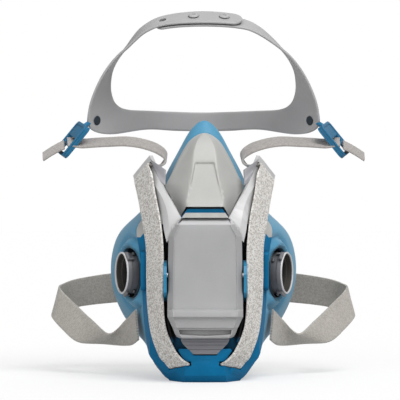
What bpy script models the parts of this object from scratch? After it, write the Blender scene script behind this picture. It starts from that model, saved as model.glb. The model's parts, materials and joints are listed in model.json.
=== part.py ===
"""Half-mask respirator with a drop-down front latch, bayonet inlets, a head cradle and webbing straps.

Frame: +Z up, the wearer's front is -Y, +X is the viewer's right. The origin is the centre of the flat chin foot.
All driving dimensions are in millimetres and are turned into metres when a mesh is made.
"""

import math

import bmesh
import bpy
import numpy as np
from mathutils import Matrix, Vector

MM = 0.001
GAP = 0.3

# Mask cross-sections, nose to chin, as (half width, depth, height) on one side.
SEAL_FRONT = [
    (0, -2, 140), (8, -1.5, 136), (14, -1, 127), (19.5, -1, 115.5), (24.3, -1, 104.5), (31, -1.5, 95.5),
    (38.4, -5, 86), (37, -7, 73), (35.5, -8, 58), (35, -8, 42), (33.5, -7, 26), (31, -3, 13), (20.5, 8, 0),
    (0, 12, 0),
]
SEAL_RIM = [
    (0, 4, 147.4), (9.5, 5.5, 143.5), (16, 9, 132), (21.5, 14, 118), (27, 20.5, 105.5), (37.5, 28.5, 94.5),
    (49.5, 36, 82.5), (54.3, 39.5, 68), (54, 39.5, 52), (49, 37, 37.5), (40.5, 33, 25), (29, 29.5, 14.5),
    (16, 27.5, 8), (0, 26.5, 6),
]
SHELL_SHOULDER = [
    (0, -6, 138), (6.5, -6, 134.5), (12, -6, 126), (17, -6, 115), (21.5, -5.5, 104), (28, -6.5, 95),
    (33.2, -10.5, 85.5), (33, -15, 73), (32.5, -18, 58), (32, -18.5, 42), (31, -18, 27), (28.5, -16, 13.5),
    (19.8, -19, 0), (0, -23, 0),
]
SHELL_FACE = [
    (0, -9, 128), (3, -9, 124), (5, -10, 117), (6, -12, 109), (7, -15, 101), (9, -18, 94), (14, -23, 84),
    (19, -28, 72), (20, -31, 58), (20, -31.5, 42), (19.5, -31.5, 27), (18.5, -31.5, 16), (14, -31, 4.5), (0, -31, 3),
]
SEAL_WALL = 2.0
SEAL_GAP = 0.5
SHELL_WALL = 2.2
LIP_REACH = 10.0
SPLIT_Z = 88.0
SIDE_STEPS = 26

# Solid foot of the chin housing: height, then one side's (x, y) corners from back to front.
FOOT_ROWS = [
    (0.0, [(19.8, 4.0), (19.8, -19.0), (13.0, -30.5)]), (4.0, [(23.0, 0.0), (23.0, -18.5), (13.8, -34.6)]),
    (9.0, [(26.6, -5.0), (26.4, -18.0), (14.4, -35.6)]), (11.5, [(26.4, -6.0), (26.2, -17.6), (14.0, -35.0)]),
]

# Raised shield on the nose: (height, half width, edge depth, ridge half width, ridge depth).
SHIELD_ROWS = [
    (139.0, 2.0, -4.5, 0.8, -6.5), (133.0, 8.5, -6.0, 4.0, -12.0), (125.0, 14.0, -7.0, 6.0, -17.0),
    (116.0, 18.8, -9.0, 7.2, -21.0), (110.0, 22.0, -11.0, 7.6, -23.5), (104.0, 19.4, -15.0, 8.6, -26.0),
    (97.0, 16.0, -19.0, 10.0, -28.5),
]
SHIELD_BACK = -4.0

# Latch.
PIVOT_Y = -38.0
PIVOT_Z = 60.0
PIN_R = 1.5
PIN_FIT = 0.05
HARNESS_PIVOT = (0.0, -2.0, 121.0)
COVER_FRONT = -45.0
COVER_BACK = -33.6
COVER_WALL = 1.9
COVER_OUTLINE = [(14.3, 91.4), (20.3, 81.5), (21.0, 44.0), (20.8, 29.0), (16.5, 23.7)]
EAR_IN = 21.3
EAR_OUT = 23.1
EAR_BACK = -30.3
EAR_Z = (45.0, 68.0)
ARM_WALL = 2.4
# Arm stations: (inner edge x, y, z), (outer edge x, y, z), from the cover's top corner up to the eye bar.
ARM_STATIONS = [
    ((12.0, -36.5, 88.0), (18.0, -36.5, 82.0)), ((14.5, -35.0, 92.5), (19.4, -34.5, 86.0)),
    ((19.3, -27.5, 101.5), (24.0, -25.5, 94.3)), ((24.6, -19.0, 110.0), (31.0, -15.0, 101.8)),
    ((27.8, -11.5, 119.0), (38.5, 0.5, 108.5)), ((31.2, -8.5, 127.0), (40.8, 5.5, 115.8)),
]
EYE_BAR = 3.2
EYE_SLOT = 3.0

# Inlet ports.
PORT_Z = 60.0
PORT_END = (47.5, 1.0)
PORT_TILT = math.radians(19.3)
PORT_R = 12.0
PORT_BORE = 10.3
PORT_LENGTH = 13.0
PORT_FLANGE_R = 13.2
PORT_FLANGE = 1.6
LUG_ANGLES = (80.0, 200.0, 320.0)

# Exhalation valve and duct.
VALVE_Z = 51.0
VALVE_R = 12.0
SEAT_HALF_X = 15.2
SEAT_Z = (33.3, 68.7)
SEAT_FRONT = -32.5
SEAT_BACK = -26.5

# Webbing.
WEB = 20.0
WEB_T = 1.3
FRONT_SLOT = 17.0
FRONT_STRAP = [
    ((29.8, -17.3, 116.5), (38.8, -4.3, 106.3)), ((28.0, -25.5, 106.0), (37.8, -11.5, 99.0)),
    ((25.6, -32.0, 92.5), (35.4, -17.5, 85.5)), ((24.4, -36.0, 78.5), (33.6, -20.5, 73.5)),
    ((24.2, -37.0, 60.0), (33.6, -20.5, 56.5)), ((24.4, -36.5, 45.5), (32.8, -20.5, 41.5)),
    ((22.5, -36.0, 31.0), (30.2, -22.5, 26.5)), ((17.0, -36.6, 18.5), (25.4, -24.5, 13.5)),
    ((10.8, -32.6, 9.0), (19.4, -20.4, 4.4)),
]
UPPER_STRAP = [
    ((31.5, -3.0, 124.0), (40.0, 11.0, 113.0)), ((27.6, 2.5, 121.0), (34.5, 18.5, 113.5)),
    ((26.6, 6.0, 122.0), (27.2, 25.0, 120.5)), ((28.6, 9.0, 126.5), (28.6, 28.0, 131.0)),
    ((35.6, 10.5, 131.5), (35.1, 29.5, 137.2)), ((45.2, 12.5, 133.0), (44.9, 31.5, 138.6)),
    ((55.5, 15.5, 132.8), (55.2, 34.5, 138.2)), ((63.5, 17.5, 131.8), (63.2, 36.5, 137.3)),
    ((70.0, 18.2, 131.4), (69.7, 37.2, 137.2)),
]
TAIL = [((83.0, 18.5, 130.5), (84.2, 38.0, 135.5)), ((88.5, 19.5, 127.5), (89.7, 39.0, 132.5)),
        ((93.2, 20.5, 124.5), (94.4, 40.0, 129.5))]
NECK_STRAP = [
    ((39.0, -4.5, 39.6), (37.6, -4.0, 21.6)), ((45.2, 5.0, 33.0), (43.4, 10.5, 17.8)),
    ((54.5, 11.5, 24.6), (58.3, 25.5, 18.0)), ((64.0, 26.0, 31.0), (73.2, 30.5, 18.5)),
    ((73.5, 34.0, 39.2), (83.0, 38.0, 25.5)), ((84.5, 45.0, 49.5), (89.6, 47.0, 32.8)),
    ((82.5, 56.0, 52.3), (85.0, 58.0, 34.0)), ((74.0, 64.0, 54.8), (75.0, 66.0, 37.5)),
    ((55.5, 71.0, 57.5), (54.0, 72.5, 39.8)), ((34.0, 75.0, 59.0), (33.0, 76.0, 40.5)),
    ((12.5, 76.8, 59.5), (12.5, 76.8, 40.5)),
]

# Head cradle: (x, y, z) of its two edges from the top centre to the rear centre.
CRADLE_INNER = [
    (0, 38, 210.5), (21.2, 38, 208.3), (33.7, 39, 202.6), (46.6, 42, 190.2), (52.9, 45, 180.9), (54.9, 48, 172.6),
    (54.7, 50, 165.3), (52.1, 54, 159.1), (46.1, 62, 156), (32.5, 76, 155.7), (17, 84.5, 155.4), (0, 88, 155.1),
]
CRADLE_OUTER = [
    (0, 24, 203), (19.5, 24.2, 202), (30.9, 24.5, 198.9), (46.1, 27, 189.2), (55.5, 29.5, 179.6), (62.6, 32, 168),
    (67.2, 35, 155), (67, 38, 144), (55.5, 49, 140.6), (34, 74.5, 144.2), (17, 84.5, 143.8), (0, 88, 143.6),
]
CRADLE_T = 1.6
OVERLAP_LIFT = 2.0
STUD_X = (-5.9, 11.8)
HOLE_X = -23.5
STUD_R = 3.0
STUD_STEM_R = 1.4
HOOK_POS = (63.0, 41.6, 148.5)
HOOK_AXIS = (0.79, 0.59, 0.14)
HOOK_R = 0.9

# Slide buckle: local length along the strap, width along the webbing.
BUCKLE_START = (70.1, 36.6, 145.0)
BUCKLE_END = (83.5, 28.8, 129.0)
BUCKLE_W = 25.0
BUCKLE_T = 2.6

COLOURS = {
    "blue_silicone": ((0.12, 0.28, 0.40), 0.55, 0.0),
    "blue_plastic": ((0.01, 0.13, 0.30), 0.40, 0.0),
    "buckle_blue": ((0.06, 0.19, 0.31), 0.38, 0.0),
    "grey_plastic": ((0.42, 0.42, 0.42), 0.42, 0.0),
    "dark_plastic": ((0.14, 0.14, 0.15), 0.45, 0.0),
    "cradle_grey": ((0.36, 0.36, 0.37), 0.50, 0.0),
    "webbing": ((0.44, 0.42, 0.40), 0.90, 0.0),
    "valve_rubber": ((0.55, 0.50, 0.36), 0.60, 0.0),
    "gasket_rubber": ((0.03, 0.03, 0.03), 0.70, 0.0),
    "steel": ((0.55, 0.56, 0.58), 0.30, 1.0),
}

PART = None
CUTTERS = None


def clear_scene():
    """Empty the startup scene and make the two collections."""
    global PART, CUTTERS
    for ob in list(bpy.data.objects):
        bpy.data.objects.remove(ob, do_unlink=True)
    PART = bpy.data.collections.new("respirator")
    CUTTERS = bpy.data.collections.new("cutters")
    bpy.context.scene.collection.children.link(PART)
    bpy.context.scene.collection.children.link(CUTTERS)


def material(name, slot):
    """One Principled material for each piece."""
    colour, rough, metal = COLOURS[slot]
    mat = bpy.data.materials.new(name + "_material")
    mat.use_nodes = True
    bsdf = mat.node_tree.nodes["Principled BSDF"]
    bsdf.inputs["Base Color"].default_value = (*colour, 1.0)
    bsdf.inputs["Roughness"].default_value = rough
    bsdf.inputs["Metallic"].default_value = metal
    mat.diffuse_color = (*colour, 1.0)
    return mat


def register(name, mesh, slot, smooth=False):
    """Link a mesh as a piece with its own material; without a slot it is a cutter."""
    ob = bpy.data.objects.new(name, mesh)
    if slot is None:
        CUTTERS.objects.link(ob)
        ob.hide_render = True
        ob.display_type = "WIRE"
        return ob
    PART.objects.link(ob)
    mesh.materials.append(material(name, slot))
    for poly in mesh.polygons:
        poly.use_smooth = smooth
    return ob


def from_bmesh(name, bm, slot=None, smooth=False):
    """Turn a bmesh in millimetres into a piece or a cutter."""
    bmesh.ops.scale(bm, vec=(MM, MM, MM), verts=bm.verts)
    bmesh.ops.remove_doubles(bm, verts=bm.verts, dist=1e-6)
    bmesh.ops.recalc_face_normals(bm, faces=bm.faces)
    mesh = bpy.data.meshes.new(name)
    bm.to_mesh(mesh)
    bm.free()
    return register(name, mesh, slot, smooth)


def skin(name, verts, faces, slot=None, smooth=False):
    """A piece from lofted points in millimetres."""
    bm = bmesh.new()
    made = [bm.verts.new(v) for v in verts]
    for face in faces:
        bm.faces.new([made[i] for i in face])
    return from_bmesh(name, bm, slot, smooth)


def boolean(ob, tool, operation):
    """An exact Boolean of one piece with one tool."""
    mod = ob.modifiers.new(tool.name, "BOOLEAN")
    mod.operation = operation
    mod.solver = "EXACT"
    mod.object = tool


def mirror_x(point, side):
    """The point on the right (side 1) or left (side -1)."""
    return (point[0] * side, point[1], point[2])


def spline(points, per_span):
    """Catmull-Rom points through a list, with per_span steps between neighbours."""
    pts = np.array(points, dtype=float)
    ext = np.vstack([2 * pts[0] - pts[1], pts, 2 * pts[-1] - pts[-2]])
    return catmull(ext, len(pts) - 1, per_span)


def catmull(ext, spans, per_span):
    """Catmull-Rom samples of a padded control list."""
    out = []
    for i in range(spans):
        p0, p1, p2, p3 = ext[i], ext[i + 1], ext[i + 2], ext[i + 3]
        for k in range(per_span):
            t = k / per_span
            out.append(0.5 * (2 * p1 + (p2 - p0) * t + (2 * p0 - 5 * p1 + 4 * p2 - p3) * t * t
                              + (3 * p1 - p0 - 3 * p2 + p3) * t ** 3))
    out.append(ext[spans + 1])
    return np.array(out)


def half_outline(points):
    """A smooth half outline whose ends meet the mirror plane square on."""
    pts = np.array(points, dtype=float)
    flip = np.array([-1.0, 1.0, 1.0])
    ext = np.vstack([pts[1] * flip, pts, pts[-2] * flip])
    out = catmull(ext, len(pts) - 1, SIDE_STEPS // (len(pts) - 1))
    out[:, 2] = np.maximum(out[:, 2], 0.0)
    out[0, 0] = 0.0
    out[-1, 0] = 0.0
    return out


def full_ring(half):
    """The closed ring made of a half outline and its mirror image."""
    left = half[1:-1][::-1] * np.array([-1.0, 1.0, 1.0])
    return np.vstack([half, left])


def inset(ring, reach, back):
    """A ring moved inwards by reach, square to its own line in the front view, and back by back."""
    ahead = np.roll(ring, -1, axis=0)
    behind = np.roll(ring, 1, axis=0)
    tangent = (ahead - behind)[:, [0, 2]]
    tangent /= np.maximum(np.linalg.norm(tangent, axis=1), 1e-9)[:, None]
    out = ring.copy()
    out[:, 0] += tangent[:, 1] * reach
    out[:, 2] -= tangent[:, 0] * reach
    out[:, 1] += back
    return out


def ring_faces(count, rings, closed):
    """Quads between neighbouring rings of equal length."""
    faces = []
    last = rings if closed else rings - 1
    for r in range(last):
        n = (r + 1) % rings
        for k in range(count):
            j = (k + 1) % count
            faces.append((r * count + k, r * count + j, n * count + j, n * count + k))
    return faces


def loft(name, rings, slot=None, closed=False, smooth=False):
    """A closed solid through rings of equal length, capped unless it closes on itself."""
    count = len(rings[0])
    verts = [tuple(p) for ring in rings for p in ring]
    faces = ring_faces(count, len(rings), closed)
    if not closed:
        faces.append(tuple(range(count))[::-1])
        faces.append(tuple((len(rings) - 1) * count + k for k in range(count)))
    return skin(name, verts, faces, slot, smooth)


def box(name, low, high, slot=None):
    """An upright box between two corners."""
    low, high = Vector(low), Vector(high)
    size = high - low
    bm = bmesh.new()
    place = Matrix.Translation((low + high) / 2) @ Matrix.Diagonal((*size, 1.0))
    bmesh.ops.create_cube(bm, size=1.0, matrix=place)
    return from_bmesh(name, bm, slot)


def prism(name, outline, direction, slot=None):
    """A flat outline of points pushed along a direction."""
    bm = bmesh.new()
    face = bm.faces.new([bm.verts.new(p) for p in outline])
    grown = bmesh.ops.extrude_face_region(bm, geom=[face])
    moved = [g for g in grown["geom"] if isinstance(g, bmesh.types.BMVert)]
    bmesh.ops.translate(bm, verts=moved, vec=Vector(direction))
    return from_bmesh(name, bm, slot)


def prism_y(name, outline, front, back, slot=None):
    """A front-view outline of (x, z) carried from one depth to another."""
    return prism(name, [(x, front, z) for x, z in outline], (0, back - front, 0), slot)


def frame_at(origin, axis, across):
    """A matrix whose local Z is the axis and whose local X lies along across."""
    z = Vector(axis).normalized()
    x = Vector(across)
    x = (x - z * x.dot(z)).normalized()
    y = z.cross(x)
    m = Matrix((x, y, z)).transposed().to_4x4()
    m.translation = Vector(origin)
    return m


def screw(name, profile, closed, where, slot, segments):
    """A (radius, height) profile turned about the local Z of a frame, placed by the object's own transform."""
    mesh = bpy.data.meshes.new(name)
    edges = [(k, k + 1) for k in range(len(profile) - 1)]
    if closed:
        edges.append((len(profile) - 1, 0))
    mesh.from_pydata([(r * MM, 0, h * MM) for r, h in profile], edges, [])
    ob = register(name, mesh, slot)
    place = where.copy()
    place.translation = where.translation * MM
    ob.matrix_world = place
    mod = ob.modifiers.new("turn", "SCREW")
    mod.axis = "Z"
    mod.steps = segments
    mod.render_steps = segments
    mod.use_merge_vertices = True
    mod.merge_threshold = 0.00001
    mod.use_smooth_shade = False
    return ob


def turned(name, profile, where, slot=None, segments=40):
    """A ring-shaped turned piece from a closed profile listed up the bore and down the outside."""
    return screw(name, profile, True, where, slot, segments)


def round_plate(name, where, profile, slot, segments=36):
    """A solid turned piece from a (radius, height) side line listed from its low end to its high end."""
    line = [(0.0, profile[-1][1])] + profile[::-1] + [(0.0, profile[0][1])]
    return screw(name, line, False, where, slot, segments)


def rod(name, radius, start, end, slot=None, segments=24):
    """A round bar between two points."""
    start, end = Vector(start), Vector(end)
    axis = end - start
    across = Vector((0, 0, 1)) if abs(axis.normalized().z) < 0.9 else Vector((1, 0, 0))
    bm = bmesh.new()
    bmesh.ops.create_cone(bm, cap_ends=True, segments=segments, radius1=radius, radius2=radius,
                          depth=axis.length, matrix=frame_at((start + end) / 2, axis, across))
    return from_bmesh(name, bm, slot)


def local_box(name, where, size, centre=(0, 0, 0), slot=None):
    """A box of a given size in a local frame."""
    bm = bmesh.new()
    place = where @ Matrix.Translation(centre) @ Matrix.Diagonal((*size, 1.0))
    bmesh.ops.create_cube(bm, size=1.0, matrix=place)
    return from_bmesh(name, bm, slot)


def ribbon_rings(first, second, thickness, lift=None):
    """Rectangular sections of a band from its two edge lines; lift moves each section along its normal."""
    first = np.array(first)
    second = np.array(second)
    middle = (first + second) / 2
    along = np.gradient(middle, axis=0)
    normal = np.cross(along, second - first)
    normal /= np.linalg.norm(normal, axis=1)[:, None]
    rings = []
    for k in range(len(first)):
        shift = normal[k] * (0.0 if lift is None else lift[k])
        half = normal[k] * thickness / 2
        rings.append([first[k] - half + shift, first[k] + half + shift,
                      second[k] + half + shift, second[k] - half + shift])
    return rings


def band(name, stations, thickness, slot, side, per_span=3):
    """A strap through (edge, edge) stations on one side: an open strip given its thickness by Solidify."""
    flip = np.array([side, 1.0, 1.0])
    first = spline([s[0] for s in stations], per_span) * flip
    second = spline([s[1] for s in stations], per_span) * flip
    bm = bmesh.new()
    rows = [(bm.verts.new(a), bm.verts.new(b)) for a, b in zip(first, second)]
    for (a, b), (c, d) in zip(rows, rows[1:]):
        bm.faces.new((a, b, d, c))
    ob = from_bmesh(name, bm, slot)
    mod = ob.modifiers.new("thickness", "SOLIDIFY")
    mod.thickness = thickness * MM
    mod.offset = 0.0
    return ob


def side_name(side):
    """Left and right as the viewer in front sees them."""
    return "right" if side > 0 else "left"


def face_seal():
    """The soft body: a tapering wall from the rigid shell back to the face, with an in-turned lip."""
    front = full_ring(half_outline(SEAL_FRONT))
    rim = full_ring(half_outline(SEAL_RIM))
    front[:, 1] += SEAL_GAP
    rings = []
    steps = 6
    for k in range(steps + 1):
        s = k / steps
        bulge = 0.62 * math.sin(s * math.pi / 2) + 0.38 * s
        ring = front + (rim - front) * bulge
        ring[:, 1] = front[:, 1] + (rim[:, 1] - front[:, 1]) * s
        rings.append(ring)
    outer = list(rings)
    lip = [inset(rim, 1.2, 2.2), inset(rim, LIP_REACH * 0.5, 3.4), inset(rim, LIP_REACH, 1.5),
           inset(rim, LIP_REACH, 0.3), inset(rim, LIP_REACH * 0.5, 1.6)]
    inner = [inset(r, SEAL_WALL, 0.0) for r in outer][::-1]
    ob = loft("face_seal", outer + lip + inner, "blue_silicone", closed=True, smooth=True)
    for side in (-1, 1):
        end, inward = port_axis(side)
        tool = rod("cut_seal_port_" + side_name(side), PORT_R + 0.4, end - inward * 4, end + inward * 17)
        boolean(ob, tool, "DIFFERENCE")
    return ob


def port_axis(side):
    """The centre of a port's open end, and the direction into the mask."""
    end = Vector((side * PORT_END[0], PORT_END[1], PORT_Z))
    inward = Vector((-side * math.cos(PORT_TILT), math.sin(PORT_TILT), 0))
    return end, inward


def front_bowl(name, slot):
    """The whole rigid front before it is divided: rim, shoulder and front face, with an inner skin."""
    edge = full_ring(half_outline(SEAL_FRONT))
    shoulder = full_ring(half_outline(SHELL_SHOULDER))
    face = full_ring(half_outline(SHELL_FACE))
    skins = [
        [edge, shoulder, face],
        [inset(edge, SHELL_WALL, 0.0), inset(shoulder, SHELL_WALL * 0.8, 1.5), inset(face, 0.8, SHELL_WALL)],
    ]
    count = len(edge)
    half = count // 2
    verts = []
    faces = []
    for layer, rings in enumerate(skins):
        base = layer * 3 * count
        verts += [tuple(p) for ring in rings for p in ring]
        faces += [tuple(base + v for v in f) for f in ring_faces(count, 3, False)]
        top = base + 2 * count
        for k in range(half):
            a, b = top + k, top + k + 1
            c, d = top + (count - k - 1) % count, top + (count - k) % count
            faces.append(tuple(dict.fromkeys((a, b, c, d))))
    inner = 3 * count
    for k in range(count):
        j = (k + 1) % count
        faces.append((k, j, inner + j, inner + k))
    return skin(name, verts, faces, slot)


def nose_shell():
    """The grey upper front with its raised shield."""
    ob = front_bowl("nose_shell", "grey_plastic")
    boolean(ob, box("cut_nose_low", (-80, -80, -10), (80, 80, SPLIT_Z + GAP / 2)), "DIFFERENCE")
    rows = []
    for z, w, edge_y, ridge, ridge_y in SHIELD_ROWS:
        rows.append([(-w, edge_y, z), (-ridge, ridge_y, z), (ridge, ridge_y, z), (w, edge_y, z),
                     (w * 0.82, SHIELD_BACK, z), (-w * 0.82, SHIELD_BACK, z)])
    boolean(ob, loft("add_shield", rows), "UNION")
    return ob


def chin_housing():
    """The blue lower front with the flat foot, the valve opening and the two strap slots."""
    ob = front_bowl("chin_housing", "blue_plastic")
    boolean(ob, box("cut_chin_high", (-80, -80, SPLIT_Z - GAP / 2), (80, 80, 200)), "DIFFERENCE")
    opening = box("cut_seat_opening", (-SEAT_HALF_X - GAP, -60, SEAT_Z[0] - GAP),
                  (SEAT_HALF_X + GAP, -20, SEAT_Z[1] + GAP))
    boolean(ob, opening, "DIFFERENCE")
    rows = []
    for z, corners in FOOT_ROWS:
        rows.append([(x, y, z) for x, y in corners] + [(-x, y, z) for x, y in corners[::-1]])
    boolean(ob, loft("add_foot", rows), "UNION")
    for side in (-1, 1):
        a, b = (np.array(p) * [side, 1, 1] for p in FRONT_STRAP[-1])
        run = np.array(FRONT_STRAP[-1]).mean(axis=0) - np.array(FRONT_STRAP[-2]).mean(axis=0)
        run = run * [side, 1, 1]
        where = frame_at((a + b) / 2, run, b - a)
        tool = local_box("cut_strap_slot_" + side_name(side), where, (FRONT_SLOT, WEB_T + 1.4, 16), (0, 0, -3.6))
        boolean(ob, tool, "DIFFERENCE")
    return ob


def nose_trim():
    """The blue strip below the shield, with a leg at each end."""
    z_top = SHIELD_ROWS[-1][0] - GAP
    outline = [(-9.8, z_top), (9.8, z_top), (13.6, z_top - 5.0), (11.6, z_top - 5.0), (9.2, z_top - 2.2),
               (-9.2, z_top - 2.2), (-11.6, z_top - 5.0), (-13.6, z_top - 5.0)]
    return prism_y("nose_trim", outline, -27.0, -24.6, "blue_plastic")


def cut_windows(ob, where, rim, spoke, count):
    """Cut equal sectors out of a plate, leaving a spoked hole; spoke is half the width of a spoke."""
    edge = math.asin(spoke / rim)
    sweep = 2 * math.pi / count
    near = spoke / math.sin(sweep / 2)
    for k in range(count):
        start = sweep * k
        ring = [(near * math.cos(start + sweep / 2), near * math.sin(start + sweep / 2))]
        for j in range(8):
            a = start + edge + (sweep - 2 * edge) * j / 7
            ring.append((rim * math.cos(a), rim * math.sin(a)))
        low = [tuple(where @ Vector((x, y, -10.0))) for x, y in ring]
        through = where.to_3x3() @ Vector((0, 0, 20.0))
        boolean(ob, prism(f"cut_{ob.name}_window_{k}", low, through), "DIFFERENCE")


def valve_seat():
    """The grey seat that fills the housing's opening, with a spoked hole for the valve."""
    ob = box("valve_seat", (-SEAT_HALF_X, SEAT_FRONT, SEAT_Z[0]), (SEAT_HALF_X, SEAT_BACK, SEAT_Z[1]), "dark_plastic")
    where = frame_at((0, (SEAT_FRONT + SEAT_BACK) / 2, VALVE_Z), (0, 1, 0), (0, 0, 1))
    cut_windows(ob, where, VALVE_R - 1.8, 1.4, 4)
    return ob


def exhalation_valve():
    """The thin round flap in front of the seat."""
    where = frame_at((0, SEAT_FRONT - GAP, VALVE_Z), (0, -1, 0), (1, 0, 0))
    profile = [(VALVE_R, 0.0), (VALVE_R, 0.5), (VALVE_R - 1.0, 0.8), (3.0, 0.8), (2.6, 2.0)]
    return round_plate("exhalation_valve", where, profile, "valve_rubber")


def exhaust_duct():
    """The tapering outlet below the cover, open at the front between its walls."""
    outer = [(-13.2, 22.6), (13.2, 22.6), (6.6, 13.6), (-6.6, 13.6)]
    ob = prism_y("exhaust_duct", outer, -37.0, -31.9, "dark_plastic")
    inner = [(-11.2, 25.0), (11.2, 25.0), (5.4, 15.4), (-5.4, 15.4)]
    boolean(ob, prism_y("cut_duct", inner, -35.4, -33.4), "DIFFERENCE")
    return ob


def port(side):
    """A bayonet inlet: tube, inner flange and three locking lugs."""
    end, inward = port_axis(side)
    where = frame_at(end, inward, (0, 0, 1))
    profile = [(PORT_BORE, 0.0), (PORT_BORE, PORT_LENGTH + PORT_FLANGE), (PORT_FLANGE_R, PORT_LENGTH + PORT_FLANGE),
               (PORT_FLANGE_R, PORT_LENGTH), (PORT_R, PORT_LENGTH), (PORT_R, 0.0)]
    ob = turned("port_" + side_name(side), profile, where, "dark_plastic", segments=48)
    for k, angle in enumerate(LUG_ANGLES):
        a = math.radians(angle) * side
        radial = Vector((math.cos(a), math.sin(a), 0))
        lug_frame = where @ frame_at(radial * PORT_R, (0, 0, 1), radial)
        tool = local_box(f"add_lug_{side_name(side)}_{k}", lug_frame, (3.2, 5.0, 1.8), (0.1, 0, 1.6))
        boolean(ob, tool, "UNION")
    return ob


def port_gasket(side):
    """The flat ring just inside the port's mouth that a filter seals on."""
    end, inward = port_axis(side)
    where = frame_at(end + inward * 4.5, inward, (0, 0, 1))
    profile = [(PORT_BORE - 1.6, 0.0), (PORT_BORE - 1.6, 1.2), (PORT_BORE - 0.1, 1.2), (PORT_BORE - 0.1, 0.0)]
    return turned("port_gasket_" + side_name(side), profile, where, "gasket_rubber", segments=40)


def inlet_spider(side):
    """The spoked disc inside the port that the inhalation flap rests on."""
    end, inward = port_axis(side)
    where = frame_at(end + inward * (PORT_LENGTH - 3.0), inward, (0, 0, 1))
    ob = round_plate("inlet_spider_" + side_name(side), where, [(PORT_BORE - 0.1, 0.0), (PORT_BORE - 0.1, 1.5)],
                     "dark_plastic")
    cut_windows(ob, where, 7.8, 0.8, 3)
    return ob


def inhalation_valve(side):
    """The thin round flap behind the spider."""
    end, inward = port_axis(side)
    where = frame_at(end + inward * (PORT_LENGTH - 1.2), inward, (0, 0, 1))
    return round_plate("inhalation_valve_" + side_name(side), where, [(9.4, 0.0), (9.4, 0.6)], "valve_rubber")


def hinge_ear(side):
    """The upright ear beside the cover that carries a hinge pin."""
    mid = (EAR_Z[0] + EAR_Z[1]) / 2
    outline = [(EAR_BACK, EAR_Z[0]), (-38, EAR_Z[0] + 3), (-41.5, mid - 6), (-42, mid + 4), (-40, EAR_Z[1] - 3),
               (-35, EAR_Z[1]), (EAR_BACK, EAR_Z[1])]
    flat = [(side * EAR_IN, y, z) for y, z in outline]
    ob = prism("hinge_ear_" + side_name(side), flat, (side * (EAR_OUT - EAR_IN), 0, 0), "buckle_blue")
    tool = rod("cut_ear_pin_" + side_name(side), PIN_R + PIN_FIT, (side * 18, PIVOT_Y, PIVOT_Z),
               (side * 28, PIVOT_Y, PIVOT_Z), segments=32)
    boolean(ob, tool, "DIFFERENCE")
    return ob


def pivot_pin(side):
    """The steel pin through ear, cover wall and yoke."""
    return rod("pivot_pin_" + side_name(side), PIN_R, (side * 16.2, PIVOT_Y, PIVOT_Z),
               (side * (EAR_OUT - 0.2), PIVOT_Y, PIVOT_Z), "steel", segments=32)


def latch_cover():
    """The grey cover over the valve: a box with chamfered top corners, open at the back and below."""
    right = COVER_OUTLINE
    outline = right + [(-x, z) for x, z in right[::-1]]
    face = [(x * 0.90, 58.0 + (z - 58.0) * 0.93) for x, z in outline]
    rings = [[(x, COVER_FRONT, z) for x, z in face], [(x, COVER_FRONT + 2.0, z) for x, z in outline],
             [(x, COVER_BACK, z) for x, z in outline]]
    ob = loft("latch_cover", rings, "grey_plastic")
    centre_z = 58.0
    hollow = []
    for x, z in outline:
        hollow.append((x - math.copysign(COVER_WALL, x), z - math.copysign(COVER_WALL, z - centre_z)))
    boolean(ob, prism_y("cut_cover_hollow", hollow, COVER_FRONT + COVER_WALL, 0), "DIFFERENCE")
    for side in (-1, 1):
        xs = sorted((side * 9.5, side * 25.0))
        notch = box("cut_cover_notch_" + side_name(side), (xs[0], -39.3, 79.0), (xs[1], 5.0, 96.0))
        boolean(ob, notch, "DIFFERENCE")
    boolean(ob, box("cut_cover_outlet", (-14.5, COVER_FRONT + COVER_WALL, 15), (14.5, 0, 28.5)), "DIFFERENCE")
    for side in (-1, 1):
        tool = rod("cut_cover_pin_" + side_name(side), PIN_R + PIN_FIT, (side * 16, PIVOT_Y, PIVOT_Z),
                   (side * 28, PIVOT_Y, PIVOT_Z), segments=32)
        boolean(ob, tool, "DIFFERENCE")
    return ob


def latch_yoke():
    """The forked lever: side plates on the pins, a bridge, and two arms that end in strap eyes."""
    plate_x = (15.8, 17.9)
    ob = box("latch_yoke", (-plate_x[1], -41.5, 76.5), (plate_x[1], -37.0, 79.5), "grey_plastic")
    for side in (-1, 1):
        tag = side_name(side)
        xs = sorted((side * plate_x[0], side * plate_x[1]))
        plate = box("add_yoke_plate_" + tag, (xs[0], -41.6, 56.0), (xs[1], -34.4, 79.6))
        boolean(ob, plate, "UNION")
        root = box("add_yoke_root_" + tag, (min(side * 11, side * 18.4), -38.4, 78.0),
                   (max(side * 11, side * 18.4), -34.6, 87.5))
        boolean(ob, root, "UNION")
        flip = np.array([side, 1.0, 1.0])
        first = spline([s[0] for s in ARM_STATIONS], 3) * flip
        second = spline([s[1] for s in ARM_STATIONS], 3) * flip
        boolean(ob, loft("add_yoke_arm_" + tag, ribbon_rings(first, second, ARM_WALL)), "UNION")
        a, b = (np.array(p) * flip for p in ARM_STATIONS[-1])
        c, d = (np.array(p) * flip for p in ARM_STATIONS[-2])
        down = (c + d - a - b) / 2
        down = down / np.linalg.norm(down)
        where = frame_at((a + b) / 2 + down * (EYE_BAR + EYE_SLOT / 2), np.cross(b - a, down), b - a)
        slot = local_box("cut_eye_" + tag, where, (15.5, EYE_SLOT, 12))
        boolean(ob, slot, "DIFFERENCE")
        pin = rod("cut_yoke_pin_" + tag, PIN_R + PIN_FIT, (side * 14, PIVOT_Y, PIVOT_Z),
                  (side * 28, PIVOT_Y, PIVOT_Z), segments=32)
        boolean(ob, pin, "DIFFERENCE")
    return ob


def latch_catch():
    """The grey bar above the cover that snaps under the shield."""
    outline = [(-11.0, 94.6), (11.0, 94.6), (13.0, 91.9), (-13.0, 91.9)]
    return prism_y("latch_catch", outline, -42.5, -37.0, "grey_plastic")


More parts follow.
